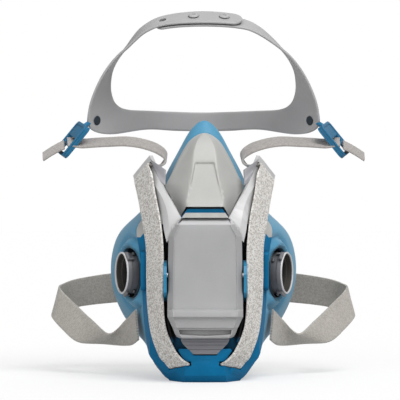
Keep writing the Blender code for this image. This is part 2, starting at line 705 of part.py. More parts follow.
def cradle_path(side, values):
    """Both edges of the cradle at spline parameters, where negative values run over the top centre."""
    flip = np.array([-1.0, 1.0, 1.0])
    edges = []
    for control in (CRADLE_INNER, CRADLE_OUTER):
        pts = np.array(control, dtype=float)
        ext = np.vstack([pts[1] * flip, pts, pts[-2] * flip])
        dense = catmull(ext, len(pts) - 1, 20)
        u = np.linspace(0, len(pts) - 1, len(dense))
        line = np.stack([np.interp(np.abs(values), u, dense[:, k]) for k in range(3)], axis=1)
        line[:, 0] *= np.where(np.array(values) < 0, -1.0, 1.0) * side
        edges.append(line)
    return edges


def head_cradle():
    """One moulded band: crown ends that overlap on top, a lobe at each side and the rear band."""
    last = len(CRADLE_INNER) - 1
    under = np.linspace(-1.6, last, 42)
    over = np.linspace(last, -1.05, 42)[1:]
    right_in, right_out = cradle_path(1, under)
    left_in, left_out = cradle_path(-1, over)
    first = np.vstack([right_in, left_in])
    second = np.vstack([right_out, left_out])
    blend = np.clip((3.0 - over) / 0.9, 0.0, 1.0)
    lift = np.concatenate([np.zeros(len(under)), OVERLAP_LIFT * blend * blend * (3 - 2 * blend)])
    middle = (first + second) / 2
    normal = np.cross(np.gradient(middle, axis=0), second - first)
    if normal[-1][2] < 0:
        lift = -lift
    ob = loft("head_cradle", ribbon_rings(first, second, CRADLE_T, lift), "cradle_grey")
    for k, x in enumerate((*STUD_X, HOLE_X)):
        base, axis = crown_point(x)
        tool = rod(f"cut_crown_{k}", STUD_STEM_R + 0.35, base - axis * 6, base + axis * 9)
        boolean(ob, tool, "DIFFERENCE")
    for side in (-1, 1):
        where = hook_frame(side)
        tool = local_box("cut_hook_" + side_name(side), where, (4.0, 4.0, 14))
        boolean(ob, tool, "DIFFERENCE")
    return ob


def crown_point(x):
    """The middle of the crown band at a sideways position, and its outward normal."""
    values = np.linspace(0, 3, 121)
    inner, outer = cradle_path(1 if x >= 0 else -1, values)
    middle = (inner + outer) / 2
    k = int(np.argmin(np.abs(middle[:, 0] - x)))
    run = middle[k + 1] - middle[max(k - 1, 0)]
    normal = np.cross(run, outer[k] - inner[k])
    normal = Vector(normal).normalized()
    if normal.z < 0:
        normal = -normal
    return Vector(middle[k]), normal


def hook_frame(side):
    """The frame of the lobe's hook hole: local Z out through the lobe, turned to a diamond."""
    centre = Vector(mirror_x(HOOK_POS, side))
    out = Vector(mirror_x(HOOK_AXIS, side))
    return frame_at(centre, out, (0, 0, 1)) @ Matrix.Rotation(math.pi / 4, 4, "Z")


def crown_stud(index):
    """A snap stud through both crown layers, with a wide head and foot."""
    base, axis = crown_point(STUD_X[index])
    where = frame_at(base, axis, (1, 0, 0))
    low = -CRADLE_T / 2 - GAP
    high = OVERLAP_LIFT + CRADLE_T / 2 + GAP
    profile = [(STUD_R, low - 1.0), (STUD_R, low), (STUD_STEM_R, low), (STUD_STEM_R, high), (STUD_R, high),
               (STUD_R - 0.4, high + 1.0)]
    return round_plate("crown_stud_" + ("left", "right")[index], where, profile, "cradle_grey", segments=24)


def buckle_frame(side):
    """Local X along the strap's run, local Y across the webbing, local Z through the buckle."""
    start = Vector(mirror_x(BUCKLE_START, side))
    end = Vector(mirror_x(BUCKLE_END, side))
    run = end - start
    across = Vector((0, 0.96, 0.28))
    across = (across - run.normalized() * across.dot(run.normalized())).normalized()
    through = run.cross(across).normalized()
    return frame_at((start + end) / 2, through, run), run.length


def buckle(side):
    """A three-bar slide with two webbing slots and a stem that hooks the cradle lobe."""
    where, length = buckle_frame(side)
    tag = side_name(side)
    ob = local_box("buckle_" + tag, where, (length, BUCKLE_W, BUCKLE_T), slot="buckle_blue")
    for k, offset in enumerate((-length * 0.16, length * 0.27)):
        tool = local_box(f"cut_buckle_{tag}_{k}", where, (4.6, WEB + 0.8, 12), (offset, 0, 0))
        boolean(ob, tool, "DIFFERENCE")
    hook = hook_frame(side)
    outside = hook @ Vector((0, 0, 3.2))
    inside = hook @ Vector((0, 0, -2.6))
    neck = Vector(mirror_x(BUCKLE_START, side)) + where.to_3x3() @ Vector((1.2, 0, 0))
    boolean(ob, rod("add_stem_" + tag, HOOK_R, outside, neck, segments=16), "UNION")
    reach = (outside - inside).normalized() * 0.5
    boolean(ob, rod("add_peg_" + tag, HOOK_R + 0.05, outside + reach, inside, segments=16), "UNION")
    return ob


def neck_clasp_loop():
    """The rectangular loop on the end of the right neck strap."""
    ob = box("neck_clasp_loop", (1.0, 75.0, 37.5), (12.0, 78.6, 62.5), "dark_plastic")
    boolean(ob, box("cut_clasp_loop", (3.2, 70, 40.0), (9.6, 82, 60.0)), "DIFFERENCE")
    return ob


def neck_clasp_hook():
    """The hook on the end of the left neck strap."""
    outline = [(-12.0, 75.4), (-0.4, 75.4), (-0.4, 79.0), (4.2, 79.0), (4.2, 75.6), (6.0, 75.6), (6.0, 80.8),
               (-2.2, 80.8), (-2.2, 78.4), (-12.0, 78.4)]
    return prism("neck_clasp_hook", [(x, y, 41.5) for x, y in outline], (0, 0, 17.0), "dark_plastic")


def pivot(name, place, pieces):
    """A parent empty on a joint's axis that carries the pieces that move about it."""
    empty = bpy.data.objects.new(name, None)
    PART.objects.link(empty)
    empty.location = Vector(place) * MM
    empty.empty_display_size = 0.01
    bpy.context.view_layer.update()
    for piece in pieces:
        ob = bpy.data.objects[piece]
        ob.parent = empty
        ob.matrix_parent_inverse = empty.matrix_world.inverted()
    return empty


def add_pivots():
    """Parent the moving pieces to empties on their joints' axes."""
    pivot("latch_pivot", (0, PIVOT_Y, PIVOT_Z), ["latch_yoke", "latch_cover", "latch_catch"])
    pivot("harness_pivot", HARNESS_PIVOT, ["head_cradle", "crown_stud_left", "crown_stud_right",
                                           "upper_strap_left", "upper_strap_right"])
    for side in (-1, 1):
        tag = side_name(side)
        pivot(f"buckle_{tag}_pivot", mirror_x(HOOK_POS, side), [f"buckle_{tag}", f"strap_tail_{tag}"])


def build():
    """Make every piece."""
    clear_scene()
    face_seal()
    nose_shell()
    chin_housing()
    nose_trim()
    valve_seat()
    exhalation_valve()
    exhaust_duct()
    latch_cover()
    latch_yoke()
    latch_catch()
    head_cradle()
    neck_clasp_loop()
    neck_clasp_hook()
    crown_stud(0)
    crown_stud(1)
    for side in (-1, 1):
        tag = side_name(side)
        port(side)
        port_gasket(side)
        inlet_spider(side)
        inhalation_valve(side)
        hinge_ear(side)
        pivot_pin(side)
        buckle(side)
        band("front_strap_" + tag, FRONT_STRAP, WEB_T, "webbing", side)
        band("upper_strap_" + tag, UPPER_STRAP, WEB_T, "webbing", side)
        band("strap_tail_" + tag, TAIL, WEB_T, "webbing", side)
        band("neck_strap_" + tag, NECK_STRAP, WEB_T, "webbing", side)
    add_pivots()


build()
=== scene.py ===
"""Finished look of the half-mask respirator: smooth shells, moulded plastics, silicone and woven straps.

Shapes are in millimetres in the part's own frame: +Z up, the wearer's front is -Y, and the origin is at
the chin foot.
"""
import json
import math

import bmesh
import bpy
import numpy as np
from mathutils import Matrix, Vector

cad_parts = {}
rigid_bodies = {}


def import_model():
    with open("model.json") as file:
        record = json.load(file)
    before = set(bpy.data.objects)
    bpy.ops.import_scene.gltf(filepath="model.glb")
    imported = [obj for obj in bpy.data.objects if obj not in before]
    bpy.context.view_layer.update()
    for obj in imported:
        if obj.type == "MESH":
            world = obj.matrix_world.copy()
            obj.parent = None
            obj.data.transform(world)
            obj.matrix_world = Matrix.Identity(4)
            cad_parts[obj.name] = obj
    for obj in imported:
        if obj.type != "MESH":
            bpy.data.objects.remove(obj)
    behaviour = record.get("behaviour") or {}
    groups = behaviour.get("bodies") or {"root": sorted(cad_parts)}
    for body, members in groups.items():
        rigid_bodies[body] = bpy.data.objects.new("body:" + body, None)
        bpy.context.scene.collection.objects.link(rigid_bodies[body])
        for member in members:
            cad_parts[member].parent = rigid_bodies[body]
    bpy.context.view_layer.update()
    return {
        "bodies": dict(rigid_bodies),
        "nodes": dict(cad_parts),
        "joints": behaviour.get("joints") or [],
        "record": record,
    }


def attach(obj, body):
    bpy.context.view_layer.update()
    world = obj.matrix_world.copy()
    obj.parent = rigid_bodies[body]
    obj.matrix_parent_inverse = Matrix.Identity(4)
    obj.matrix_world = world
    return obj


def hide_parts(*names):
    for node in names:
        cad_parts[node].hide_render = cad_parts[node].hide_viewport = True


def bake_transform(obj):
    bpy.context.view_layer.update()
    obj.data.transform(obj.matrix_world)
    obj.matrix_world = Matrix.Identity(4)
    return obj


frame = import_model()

MM = 0.001
FLIP = np.array([-1.0, 1.0, 1.0])
SIDES = (-1, 1)

# ---- driving shapes ----
# Outlines of the right side from top to bottom, seen from the front: seal, shell and its front face.
SEAL_FRONT = [
    (0, -2, 140), (8, -1.5, 136), (14, -1, 127), (19.5, -1, 115.5), (24.3, -1, 104.5), (31, -1.5, 95.5),
    (38.4, -5, 86), (37, -7, 73), (35.5, -8, 58), (35, -8, 42), (33.5, -7, 26), (31, -3, 13),
    (20.5, 8, 0), (0, 12, 0),
]
SEAL_RIM = [
    (0, 4, 147.4), (7.8, 5, 142), (15.6, 8.8, 128.4), (21.6, 14, 117.4), (27, 20.5, 105.5),
    (37.5, 28.5, 94.5), (49.5, 36, 82.5), (54.3, 39.5, 68), (54, 39.5, 52), (49, 37, 37.5),
    (40.5, 33, 25), (29, 29.5, 14.5), (16, 27.5, 8), (0, 26.5, 6),
]
# The rolled lip, as distances inwards and back from the rim.
LIP_STEPS = [
    (0.4, 1.3), (1.4, 2.6), (3.2, 3.3), (5.6, 3.3), (8.2, 2.4), (9.9, 1.4), (9.7, 0.7), (8, 1.2),
    (5.4, 1.9), (3.4, 1.3),
]
SHELL_SHOULDER = [
    (0, -6, 138), (6.5, -6, 134.5), (12, -6, 126), (17, -6, 115), (21.5, -5.5, 104), (28, -6.5, 95),
    (33.2, -10.5, 85.5), (33, -15, 73), (32.5, -18, 58), (32, -18.5, 42), (31, -18, 27),
    (28.5, -16, 13.5), (19.8, -19, 0), (0, -23, 0),
]
SHELL_FACE = [
    (0, -9, 128), (3, -9, 124), (5, -10, 117), (6, -12, 109), (7, -15, 101), (9, -18, 94), (14, -23, 84),
    (19, -28, 72), (20, -31, 58), (20, -31.5, 42), (19.5, -31.5, 27), (18.5, -31.5, 16), (14, -31, 4.5),
    (0, -31, 3),
]
SPLIT_LINE = [(-90, 80.5), (-36.4, 80.5), (-30.5, 88), (30.5, 88), (36.4, 80.5), (90, 80.5)]
SPLIT_LAP = 0.05
GAP = 0.3
SEAL_WALL = 2.0
SHELL_WALL = 2.2

# Nose shield: height, half width, edge depth, half width and depth of the plateau.
SHIELD = [
    (139.6, 1.2, -5.2, 0.5, -6.6), (138, 4.2, -5.6, 2.2, -8.6), (134.5, 7.8, -6, 4.4, -11.8),
    (129, 11.8, -6.6, 6, -15.4), (123, 15.2, -7.4, 6.6, -18.2), (116, 18.9, -9, 7.2, -21),
    (111.5, 21.4, -10.4, 7.5, -22.8), (109, 22.1, -11.2, 7.7, -23.8), (104, 19.4, -15, 8.6, -25.8),
    (97, 15.9, -19.4, 10.2, -28.5), (91.6, 13.2, -23.6, 11, -29.6),
]
SHIELD_BACK = -3.6
PANEL_TOP = 123.2
PANEL_LOW = 99.6
PANEL_SINK = 1.1

# Levels of the chin foot: height and its corners from the side to the middle of the front.
FOOT = [
    (0, [(19.8, 2), (19.8, -19), (12.2, -30.5), (0, -31.2)]),
    (1, [(20.7, 1), (20.6, -18.8), (12, -31.8), (0, -32.6)]),
    (4, [(23.4, -1), (23.2, -17.6), (11.4, -34.6), (0, -35.4)]),
    (9, [(27.8, -4), (27.4, -16.6), (10.8, -35.7), (0, -36.3)]),
    (12.4, [(30.9, -5), (30.3, -15.2), (11.2, -35.6), (0, -36.2)]),
    (14.6, [(31.9, -5), (31.2, -15.4), (12, -33), (0, -33.6)]),
    (20, [(32.5, -5), (30.9, -16), (12, -30.6), (0, -30.8)]),
    (27, [(33.1, -5.5), (30.5, -16.5), (12, -29), (0, -29.5)]),
]

COVER_BACK = -33.6
COVER_WALL = 1.9
# Cover half widths by height.
COVER_SIDE = [(91.4, 14.3), (81.5, 20.3), (60, 20.7), (44, 21), (37, 20.9), (30.6, 18), (27, 16.6),
              (25.2, 14.6)]
# Cover depth by height, from its foot up, and the other heights that carry a row of points.
COVER_FACE = [
    (25.2, -43.2), (25.9, -43.8), (30.6, -44.2), (30.9, -44.9), (31.2, -45.4), (36.3, -45.9),
    (36.6, -46.2), (37, -47.2), (37.4, -47.7), (40.6, -47.5), (40.9, -46.7), (41.4, -45.6), (62, -45.4),
    (84.5, -45.2), (87.7, -45), (88.1, -44.4), (90.6, -41), (91.1, -40.6), (91.4, -40.2),
]
COVER_LEVELS = (26.9, 28.6, 33.4, 46, 54, 70, 76, 81.5, 88.4)
# Bands are rows of (edge, edge) points on the right side, drawn through as smooth lines.
ARM = [
    ((11, -37.2, 89.4), (21.4, -37.6, 78.2)), ((13.4, -36, 92.2), (22.8, -36.1, 84.4)),
    ((18.6, -30.4, 101), (24.7, -30.3, 93.8)), ((24, -22.4, 109.4), (30.4, -20, 101.6)),
    ((27.8, -11.5, 119), (38.5, 0.5, 108.5)), ((31.2, -8.5, 127), (40.8, 5.5, 115.8)),
]
ARM_WALL = 2.2
ARM_STEPS = 8
EYE_BAR = 3.2
EYE_SLOT = 3.0
EYE_WIDTH = 17.4
WEB_EDGE = ((22.2, -18.6, 109.2), (21.8, -14.2, 118.6))

PORT_Z = 60.0
PORT_END = (47.5, 1)
PORT_TILT = math.radians(19.3)
PORT_R = 12.0
PORT_BORE = 10.3
PORT_LENGTH = 13.0
PORT_HOLE = 14.4
PORT_HOLE_FLAT = 0.885
PORT_HOLE_SHIFT = 1.5
LUG_ANGLES = (80, 200, 320)
# The three blocks of a lug: size, centre and edge radius in the lug's own frame.
LUG_BLOCKS = [((2.6, 5.6, 1.5), (0.3, 0, 1.2), 0.3), ((2, 1.3, 3.6), (0.1, 2.2, 2.6), 0.25),
              ((1.2, 2.4, 1.2), (0, -2.6, 5.4), 0.25)]

WEB_T = 1.3
SELVEDGE = 9.2
FRONT_STRAP = [
    ((29.8, -17.3, 116.5), (38.4, -4.3, 106.3)), ((28, -25.5, 106), (36.8, -11.5, 99)),
    ((25.3, -32, 92.5), (34.4, -17.5, 85.5)), ((23.6, -36, 78.5), (32.8, -20.5, 73.5)),
    ((23.1, -37, 60), (32.6, -20.5, 56.5)), ((23.3, -36.5, 45.5), (32, -20.5, 41.5)),
    ((22, -36, 31), (30, -22.5, 26.5)), ((17.2, -37.2, 19.2), (25.6, -24.5, 14.4)),
    ((13.4, -37.8, 14), (22.6, -25, 10.8)), ((9.2, -37.5, 10.9), (20.2, -25.8, 8)),
    ((8.4, -34.6, 10.6), (18.4, -23.4, 7.7)),
]
UPPER_STRAP = [
    ((31.5, -3, 124), (40, 11, 113)), ((27.8, 2.9, 122), (34.4, 18.6, 115.6)),
    ((23.6, 7.4, 122), (25.2, 26, 122)), ((22.4, 9.8, 125), (21.8, 28.8, 129)),
    ((27.8, 10.6, 128.9), (26.8, 29.8, 134.1)), ((36.4, 11.2, 131.8), (36, 30.4, 137.2)),
    ((45.4, 12.8, 133), (45.1, 31.8, 138.5)), ((55.5, 15.5, 132.8), (55.2, 34.5, 138.2)),
    ((64, 17.4, 132.4), (63.8, 36.4, 137.8)), ((70.6, 18.4, 132), (70.6, 37.3, 137.4)),
    ((75.2, 19, 132.6), (76.2, 37.8, 137.9)), ((77.8, 19.2, 132.9), (79, 38, 138.1)),
    ((79, 19.3, 132.9), (80.2, 38, 138.1)),
]
STRAP_SPLIT = 5
TAIL = [((80.8, 18.6, 131.4), (82, 37.9, 136.5)), ((84, 18.8, 130), (85.2, 38.1, 135)),
        ((88.5, 19.5, 127.5), (89.7, 39, 132.5)), ((93.2, 20.5, 124.5), (94.4, 40, 129.5))]
NECK_STRAP = [
    ((39, -4.5, 39.6), (37.6, -4, 21.6)), ((45.2, 5, 33), (43.4, 10.5, 17.8)),
    ((54.5, 11.5, 24.6), (58.3, 25.5, 18)), ((64, 26, 31), (73.2, 30.5, 18.5)),
    ((73.5, 34, 39.2), (83, 38, 25.5)), ((84.5, 45, 49.5), (89.6, 47, 32.8)),
    ((82.5, 56, 52.3), (85, 58, 34)), ((74, 64, 54.8), (75, 66, 37.5)),
    ((55.5, 71, 57.5), (54, 72.5, 39.8)), ((34, 75, 59), (33, 76, 40.5)),
    ((12.5, 76.8, 59.5), (12.5, 76.8, 40.5)),
]
CRADLE_INNER = [
    (0, 38, 210.5), (21.2, 38, 208.3), (33.7, 39, 202.6), (46.6, 42, 190.2), (52.9, 45, 180.9),
    (54.9, 48, 172.6), (54.7, 50, 165.3), (52.1, 54, 159.1), (46.1, 62, 156), (32.5, 76, 155.7),
    (17, 84.5, 155.4), (0, 88, 155.1),
]
CRADLE_OUTER = [
    (0, 24, 203), (19.5, 24.2, 202), (30.9, 24.5, 198.9), (46.1, 27, 189.2), (55.5, 29.5, 179.6),
    (62.6, 32, 168), (67.2, 35, 155), (67, 38, 144), (55.5, 49, 140.6), (34, 74.5, 144.2),
    (17, 84.5, 143.8), (0, 88, 143.6),
]
CRADLE_T = 1.6
OVERLAP_LIFT = 2.0
STUD_X = (-5.9, 11.8)
HOLE_X = -23.5
HOOK_POS = (63.0, 41.6, 148.5)
HOOK_AXIS = (0.79, 0.59, 0.14)
BUCKLE_START = (70.1, 31.6, 145.2)
BUCKLE_END = (83.4, 31.0, 128.8)
BUCKLE_ACROSS = (0.12, 0.956, 0.268)
BUCKLE_SLOTS = (0.7, 6.8)
BUCKLE_W = 25.0
BUCKLE_T = 2.6


# ---- materials ----
def linear(rgb):
    """A display colour of 0-255 values as linear RGBA."""
    out = []
    for c in rgb:
        c /= 255.0
        out.append(c / 12.92 if c <= 0.04045 else ((c + 0.055) / 1.055) ** 2.4)
    return (*out, 1.0)


def scaled(colour, k):
    """A linear colour made lighter or darker."""
    return (*[min(1.0, c * k) for c in colour[:3]], 1.0)


def between(a, b, k):
    """One linear colour between two."""
    return (*[x + (y - x) * k for x, y in zip(a[:3], b[:3])], 1.0)


BLACK = (0.0, 0.0, 0.0, 1.0)
WHITE = (1.0, 1.0, 1.0, 1.0)


class Finish:
    """A node material under construction."""

    def __init__(self, name):
        self.mat = bpy.data.materials.new(name)
        self.mat.use_nodes = True
        self.tree = self.mat.node_tree
        self.bsdf = self.tree.nodes["Principled BSDF"]

    def node(self, kind, inputs, **props):
        """A new node with its properties, and its inputs set or linked."""
        made = self.tree.nodes.new("ShaderNode" + kind)
        for key, value in props.items():
            setattr(made, key, value)
        for key, value in inputs.items():
            self.put(made.inputs[key], value)
        return made

    def put(self, socket, value):
        """Link a socket to another, or give it a value."""
        if isinstance(value, bpy.types.NodeSocket):
            self.tree.links.new(value, socket)
        else:
            socket.default_value = value

    def set(self, **inputs):
        """Set the surface shader's inputs."""
        for key, value in inputs.items():
            self.put(self.bsdf.inputs[key.replace("_", " ")], value)

    def calc(self, operation, a, b=0.0):
        """One arithmetic step."""
        return self.node("Math", {0: a, 1: b}, operation=operation).outputs[0]

    def times(self, *factors):
        """The product of two or more values."""
        product = factors[0]
        for factor in factors[1:]:
            product = self.calc("MULTIPLY", product, factor)
        return product

    def part(self, vector, axis):
        """One component of a vector."""
        return self.node("SeparateXYZ", {"Vector": vector}).outputs[axis]

    def coords(self, kind="Object"):
        """Texture coordinates: the object's own metres, or the strap's millimetres."""
        return self.node("TexCoord", {}).outputs[kind]

    def noise(self, vector, scale, detail=2.0, rough=0.5):
        """Smooth noise from 0 to 1."""
        made = self.node("TexNoise", {"Vector": vector, "Scale": scale, "Detail": detail,
                                      "Roughness": rough})
        return made.outputs["Fac"]

    def span(self, value, low, high, to_low=0.0, to_high=1.0):
        """A value carried from one range to another, clamped."""
        made = self.node("MapRange", {"Value": value, "From Min": low, "From Max": high,
                                      "To Min": to_low, "To Max": to_high})
        return made.outputs["Result"]

    def mix(self, share, a, b):
        """Two colours mixed."""
        return self.node("MixRGB", {"Fac": share, "Color1": a, "Color2": b}).outputs[0]

    def painted_pocket_shade(self, colour):
        """Painted shadow: a colour fading to black in the deep recess beside the hinged cover."""
        place = self.coords()
        aside = self.calc("ABSOLUTE", self.part(place, "X"))
        height = self.part(place, "Z")
        facing = self.part(self.node("NewGeometry", {}).outputs["Normal"], "Y")
        share = self.times(
            self.span(aside, 0.0152, 0.0166), self.span(aside, 0.0275, 0.0300, 1.0, 0.0),
            self.span(self.part(place, "Y"), -0.0150, -0.0120, 1.0, 0.0),
            self.span(height, 0.0200, 0.0260), self.span(height, 0.0990, 0.1000, 1.0, 0.0),
            self.span(facing, -0.25, 0.0, 1.0, 0.0))
        return self.mix(share, colour, (0.006, 0.007, 0.008, 1.0))

    def hollow(self, colour, reach, dark, floor=False):
        """Painted shade: a colour darkened in gaps and corners that ambient occlusion finds, but not by
        the floor below.
        """
        seen = self.node("AmbientOcclusion", {"Distance": reach}, samples=6).outputs["AO"]
        if floor:
            height = self.part(self.coords(), "Z")
            seen = self.calc("MAXIMUM", seen, self.span(height, 0.006, 0.014, 1.0, 0.0))
        return self.mix(self.span(seen, 0.2, 0.85), self.mix(dark, colour, BLACK), colour)

    def bump(self, height, strength, distance):
        """Surface relief from a height."""
        made = self.node("Bump", {"Height": height, "Strength": strength, "Distance": distance})
        self.set(Normal=made.outputs["Normal"])


def moulded(name, colour, rough=0.42, edge_highlight_share=0.35, grain=0.16, reach=0.0045, dark=0.7, specular=0.5,
            painted_well_shade=False, bevel=None):
    """Injection-moulded plastic: fine spark grain, slow colour drift, and convex edges painted lighter as
    a painted highlight.
    """
    f, colour = Finish(name), linear(colour)
    place = f.coords()
    drift = f.span(f.noise(place, 38.0, 3.0), 0.3, 0.7)
    fine = f.noise(place, 2400.0, 2.0, 0.6)
    flecks = f.span(f.noise(place, 900.0, 1.0), 0.62, 0.74)
    base = f.mix(drift, scaled(colour, 0.93), scaled(colour, 1.06))
    base = f.mix(f.times(flecks, 0.10), base, scaled(colour, 0.72))
    # Painted highlight: convex edges are painted paler, patchily.
    edge = f.span(f.node("NewGeometry", {}).outputs["Pointiness"], 0.51, 0.58)
    lit_edge_highlight = f.times(edge, f.span(f.noise(place, 160.0, 4.0), 0.35, 0.65, 0.25, 1.0))
    base = f.mix(f.times(lit_edge_highlight, edge_highlight_share), base, scaled(colour, 1.55))
    gloss = f.calc("ADD", f.span(drift, 0.0, 1.0, rough - 0.05, rough + 0.05), f.times(fine, 0.08))
    # Painted highlight: above the bevel height the colour is painted paler, as if lit from above.
    if bevel:
        height = f.part(place, "Z")
        base = f.mix(f.span(height, bevel - 0.0002, bevel + 0.0002), base, scaled(colour, 1.45))
    # Painted shadow in the recess beside the hinged cover.
    if painted_well_shade:
        base = f.painted_pocket_shade(base)
    # Painted shade in gaps and corners.
    f.set(Base_Color=f.hollow(base, reach, dark, floor=painted_well_shade), Roughness=gloss,
          Specular_IOR_Level=specular)
    f.bump(fine, grain, 0.00012)
    return f.mat


def silicone(name, colour, dust_and_sheen_colour):
    """Matt moulded silicone: powdery surface, soft light spread, pale dust specks and a painted sheen
    where the surface turns away from view.
    """
    f, colour, dust_and_sheen_colour = Finish(name), linear(colour), linear(dust_and_sheen_colour)
    place = f.coords()
    drift = f.span(f.noise(place, 24.0, 4.0), 0.3, 0.7)
    fine = f.noise(place, 1500.0, 3.0, 0.65)
    dust = f.span(f.noise(place, 420.0, 2.0), 0.55, 0.75)
    facing = f.node("LayerWeight", {"Blend": 0.45}).outputs["Facing"]
    base = f.mix(drift, scaled(colour, 0.94), scaled(colour, 1.08))
    base = f.mix(f.times(dust, 0.08), base, dust_and_sheen_colour)
    # Painted sheen: paler where the surface turns away from view.
    base = f.mix(f.span(facing, 0.55, 1.0, 0.0, 0.55), base, dust_and_sheen_colour)
    # Painted shade in gaps and corners.
    f.set(Base_Color=f.hollow(base, 0.006, 0.6), Roughness=f.span(fine, 0.2, 0.8, 0.50, 0.64),
          Specular_IOR_Level=0.42,
          Subsurface_Weight=0.10, Subsurface_Radius=(0.0010, 0.0018, 0.0024), Subsurface_Scale=1.0,
          Sheen_Weight=0.10, Sheen_Roughness=0.4)
    f.bump(fine, 0.12, 0.0001)
    return f.mat


def woven(name, light, dark, wale, course, contrast, relief=0.55):
    """Heather webbing: ribs of yarn loops, each loop its own shade, and a firm selvedge."""
    f, light, dark = Finish(name), linear(light), linear(dark)
    across, along = (f.part(f.coords("UV"), axis) for axis in "XY")
    column = f.calc("DIVIDE", across, wale)
    number = f.calc("FLOOR", column)
    shift = f.times(f.calc("MODULO", number, 2.0), 0.5)
    row = f.calc("ADD", f.calc("DIVIDE", along, course), shift)
    cell = f.node("CombineXYZ", {"X": number, "Y": f.calc("FLOOR", row), "Z": 0.0}).outputs[0]
    shade = f.node("TexWhiteNoise", {"Vector": cell}, noise_dimensions="3D").outputs["Value"]
    rib, loop = (f.calc("ABSOLUTE", f.calc("SINE", f.times(v, math.pi))) for v in (column, row))
    height = f.times(f.calc("POWER", rib, 0.6), f.calc("POWER", loop, 0.7))
    point = f.node("CombineXYZ", {"X": across, "Y": along, "Z": 0.0}).outputs[0]
    fuzz = f.noise(point, 5.5, 3.0, 0.7)
    patch = f.span(f.noise(point, 0.10, 2.0), 0.3, 0.7)
    tone = f.calc("ADD", f.times(shade, 0.62), f.times(fuzz, 0.38))
    ramp = f.node("ValToRGB", {"Fac": tone})
    stops = ramp.color_ramp.elements
    spread = [(0.20, between(light, dark, contrast)), (0.42, between(light, dark, 0.45 * contrast)),
              (0.60, light), (0.86, scaled(light, 1.0 + 0.20 * contrast))]
    stops[0].position, stops[0].color = spread[0]
    stops[1].position, stops[1].color = spread[-1]
    for spot, colour in spread[1:-1]:
        stops.new(spot).color = colour
    base = f.mix(f.times(f.calc("SUBTRACT", 1.0, height), 0.38), ramp.outputs[0], scaled(dark, 0.75))
    base = f.mix(f.times(patch, 0.12), base, scaled(dark, 1.1))
    selvedge = f.span(f.calc("ABSOLUTE", across), SELVEDGE - 0.7, SELVEDGE + 0.1)
    base = f.mix(f.times(selvedge, 0.12), base, scaled(light, 1.12))
    # Painted shade in gaps and corners.
    f.set(Base_Color=f.hollow(base, 0.003, 0.5), Roughness=f.span(fuzz, 0.2, 0.8, 0.80, 0.95),
          Sheen_Weight=0.25, Sheen_Roughness=0.6, Specular_IOR_Level=0.2)
    f.bump(f.calc("ADD", height, f.times(fuzz, 0.5)), relief, 0.00022)
    return f.mat


def rubber(name, colour, rough, soft=0.0):
    """Thin valve or gasket rubber with talc haze."""
    f, colour = Finish(name), linear(colour)
    place = f.coords()
    haze = f.span(f.noise(place, 90.0, 4.0), 0.35, 0.7)
    fine = f.noise(place, 1800.0, 2.0)
    base = f.mix(f.times(haze, 0.35), colour, scaled(colour, 1.5))
    f.set(Base_Color=base, Roughness=f.span(haze, 0.0, 1.0, rough - 0.06, rough + 0.08),
          Subsurface_Weight=soft, Subsurface_Radius=(0.002, 0.0016, 0.001))
    f.bump(fine, 0.12, 0.0001)
    return f.mat


def steel(name):
    """Turned steel with fine rings and small scratches."""
    f = Finish(name)
    place = f.coords()
    scratch = f.noise(place, 2600.0, 3.0, 0.7)
    tint = f.mix(f.noise(place, 300.0), linear((176, 178, 182)), linear((206, 208, 210)))
    f.set(Base_Color=tint, Metallic=1.0, Roughness=f.span(scratch, 0.2, 0.8, 0.22, 0.42))
    f.bump(scratch, 0.08, 0.00005)
    return f.mat


# ---- mesh helpers ----
def spline(points, per_span):
    """Catmull-Rom samples through control points."""
    pts = np.array(points, dtype=float)
    return catmull(np.vstack([2 * pts[0] - pts[1], pts, 2 * pts[-1] - pts[-2]]), per_span)


def catmull(ext, per_span):
    """Catmull-Rom samples of a control list padded by one at each end."""
    out = []
    for i in range(len(ext) - 3):
        p0, p1, p2, p3 = ext[i:i + 4]
        for t in np.arange(per_span) / per_span:
            out.append(0.5 * (2 * p1 + (p2 - p0) * t + (2 * p0 - 5 * p1 + 4 * p2 - p3) * t * t
                              + (3 * p1 - p0 - 3 * p2 + p3) * t ** 3))
    out.append(ext[-2])
    return np.array(out)


def half_line(points, per_span):
    """Samples through one side's points, square to the mirror plane at both ends."""
    pts = np.array(points, dtype=float)
    return catmull(np.vstack([pts[1] * FLIP, pts, pts[-2] * FLIP]), per_span)


def full_ring(points, per_span):
    """A closed ring from one side's outline."""
    half = half_line(points, per_span)
    half[:, 2] = np.maximum(half[:, 2], 0.0)
    half[0, 0] = half[-1, 0] = 0.0
    return np.vstack([half, half[1:-1][::-1] * FLIP])


def inset(ring, reach, back):
    """A ring moved inwards in the front view, and back."""
    tangent = (np.roll(ring, -1, axis=0) - np.roll(ring, 1, axis=0))[:, [0, 2]]
    tangent /= np.maximum(lengths(tangent), 1e-9)[:, None]
    out = ring.copy()
    out[:, 0] += tangent[:, 1] * reach
    out[:, 2] -= tangent[:, 0] * reach
    out[:, 1] += back
    return out


def mesh_object(name, verts, faces, uvs=None):
    """A mesh object from millimetre points, with outward normals; uvs holds one pair a point."""
    mesh = bpy.data.meshes.new(name)
    mesh.from_pydata([tuple(float(c) * MM for c in v) for v in verts], [], faces)
    if uvs is not None:
        layer = mesh.uv_layers.new(name="weave")
        for loop in mesh.loops:
            layer.data[loop.index].uv = uvs[loop.vertex_index]
    bm = bmesh.new()
    bm.from_mesh(mesh)
    bmesh.ops.remove_doubles(bm, verts=bm.verts, dist=1e-6)
    bmesh.ops.recalc_face_normals(bm, faces=bm.faces)
    bm.to_mesh(mesh)
    bm.free()
    ob = bpy.data.objects.new(name, mesh)
    bpy.context.scene.collection.objects.link(ob)
    return ob


def skin(name, rings, faces):
    """A mesh object from rings of points."""
    return mesh_object(name, [p for ring in rings for p in ring], faces)


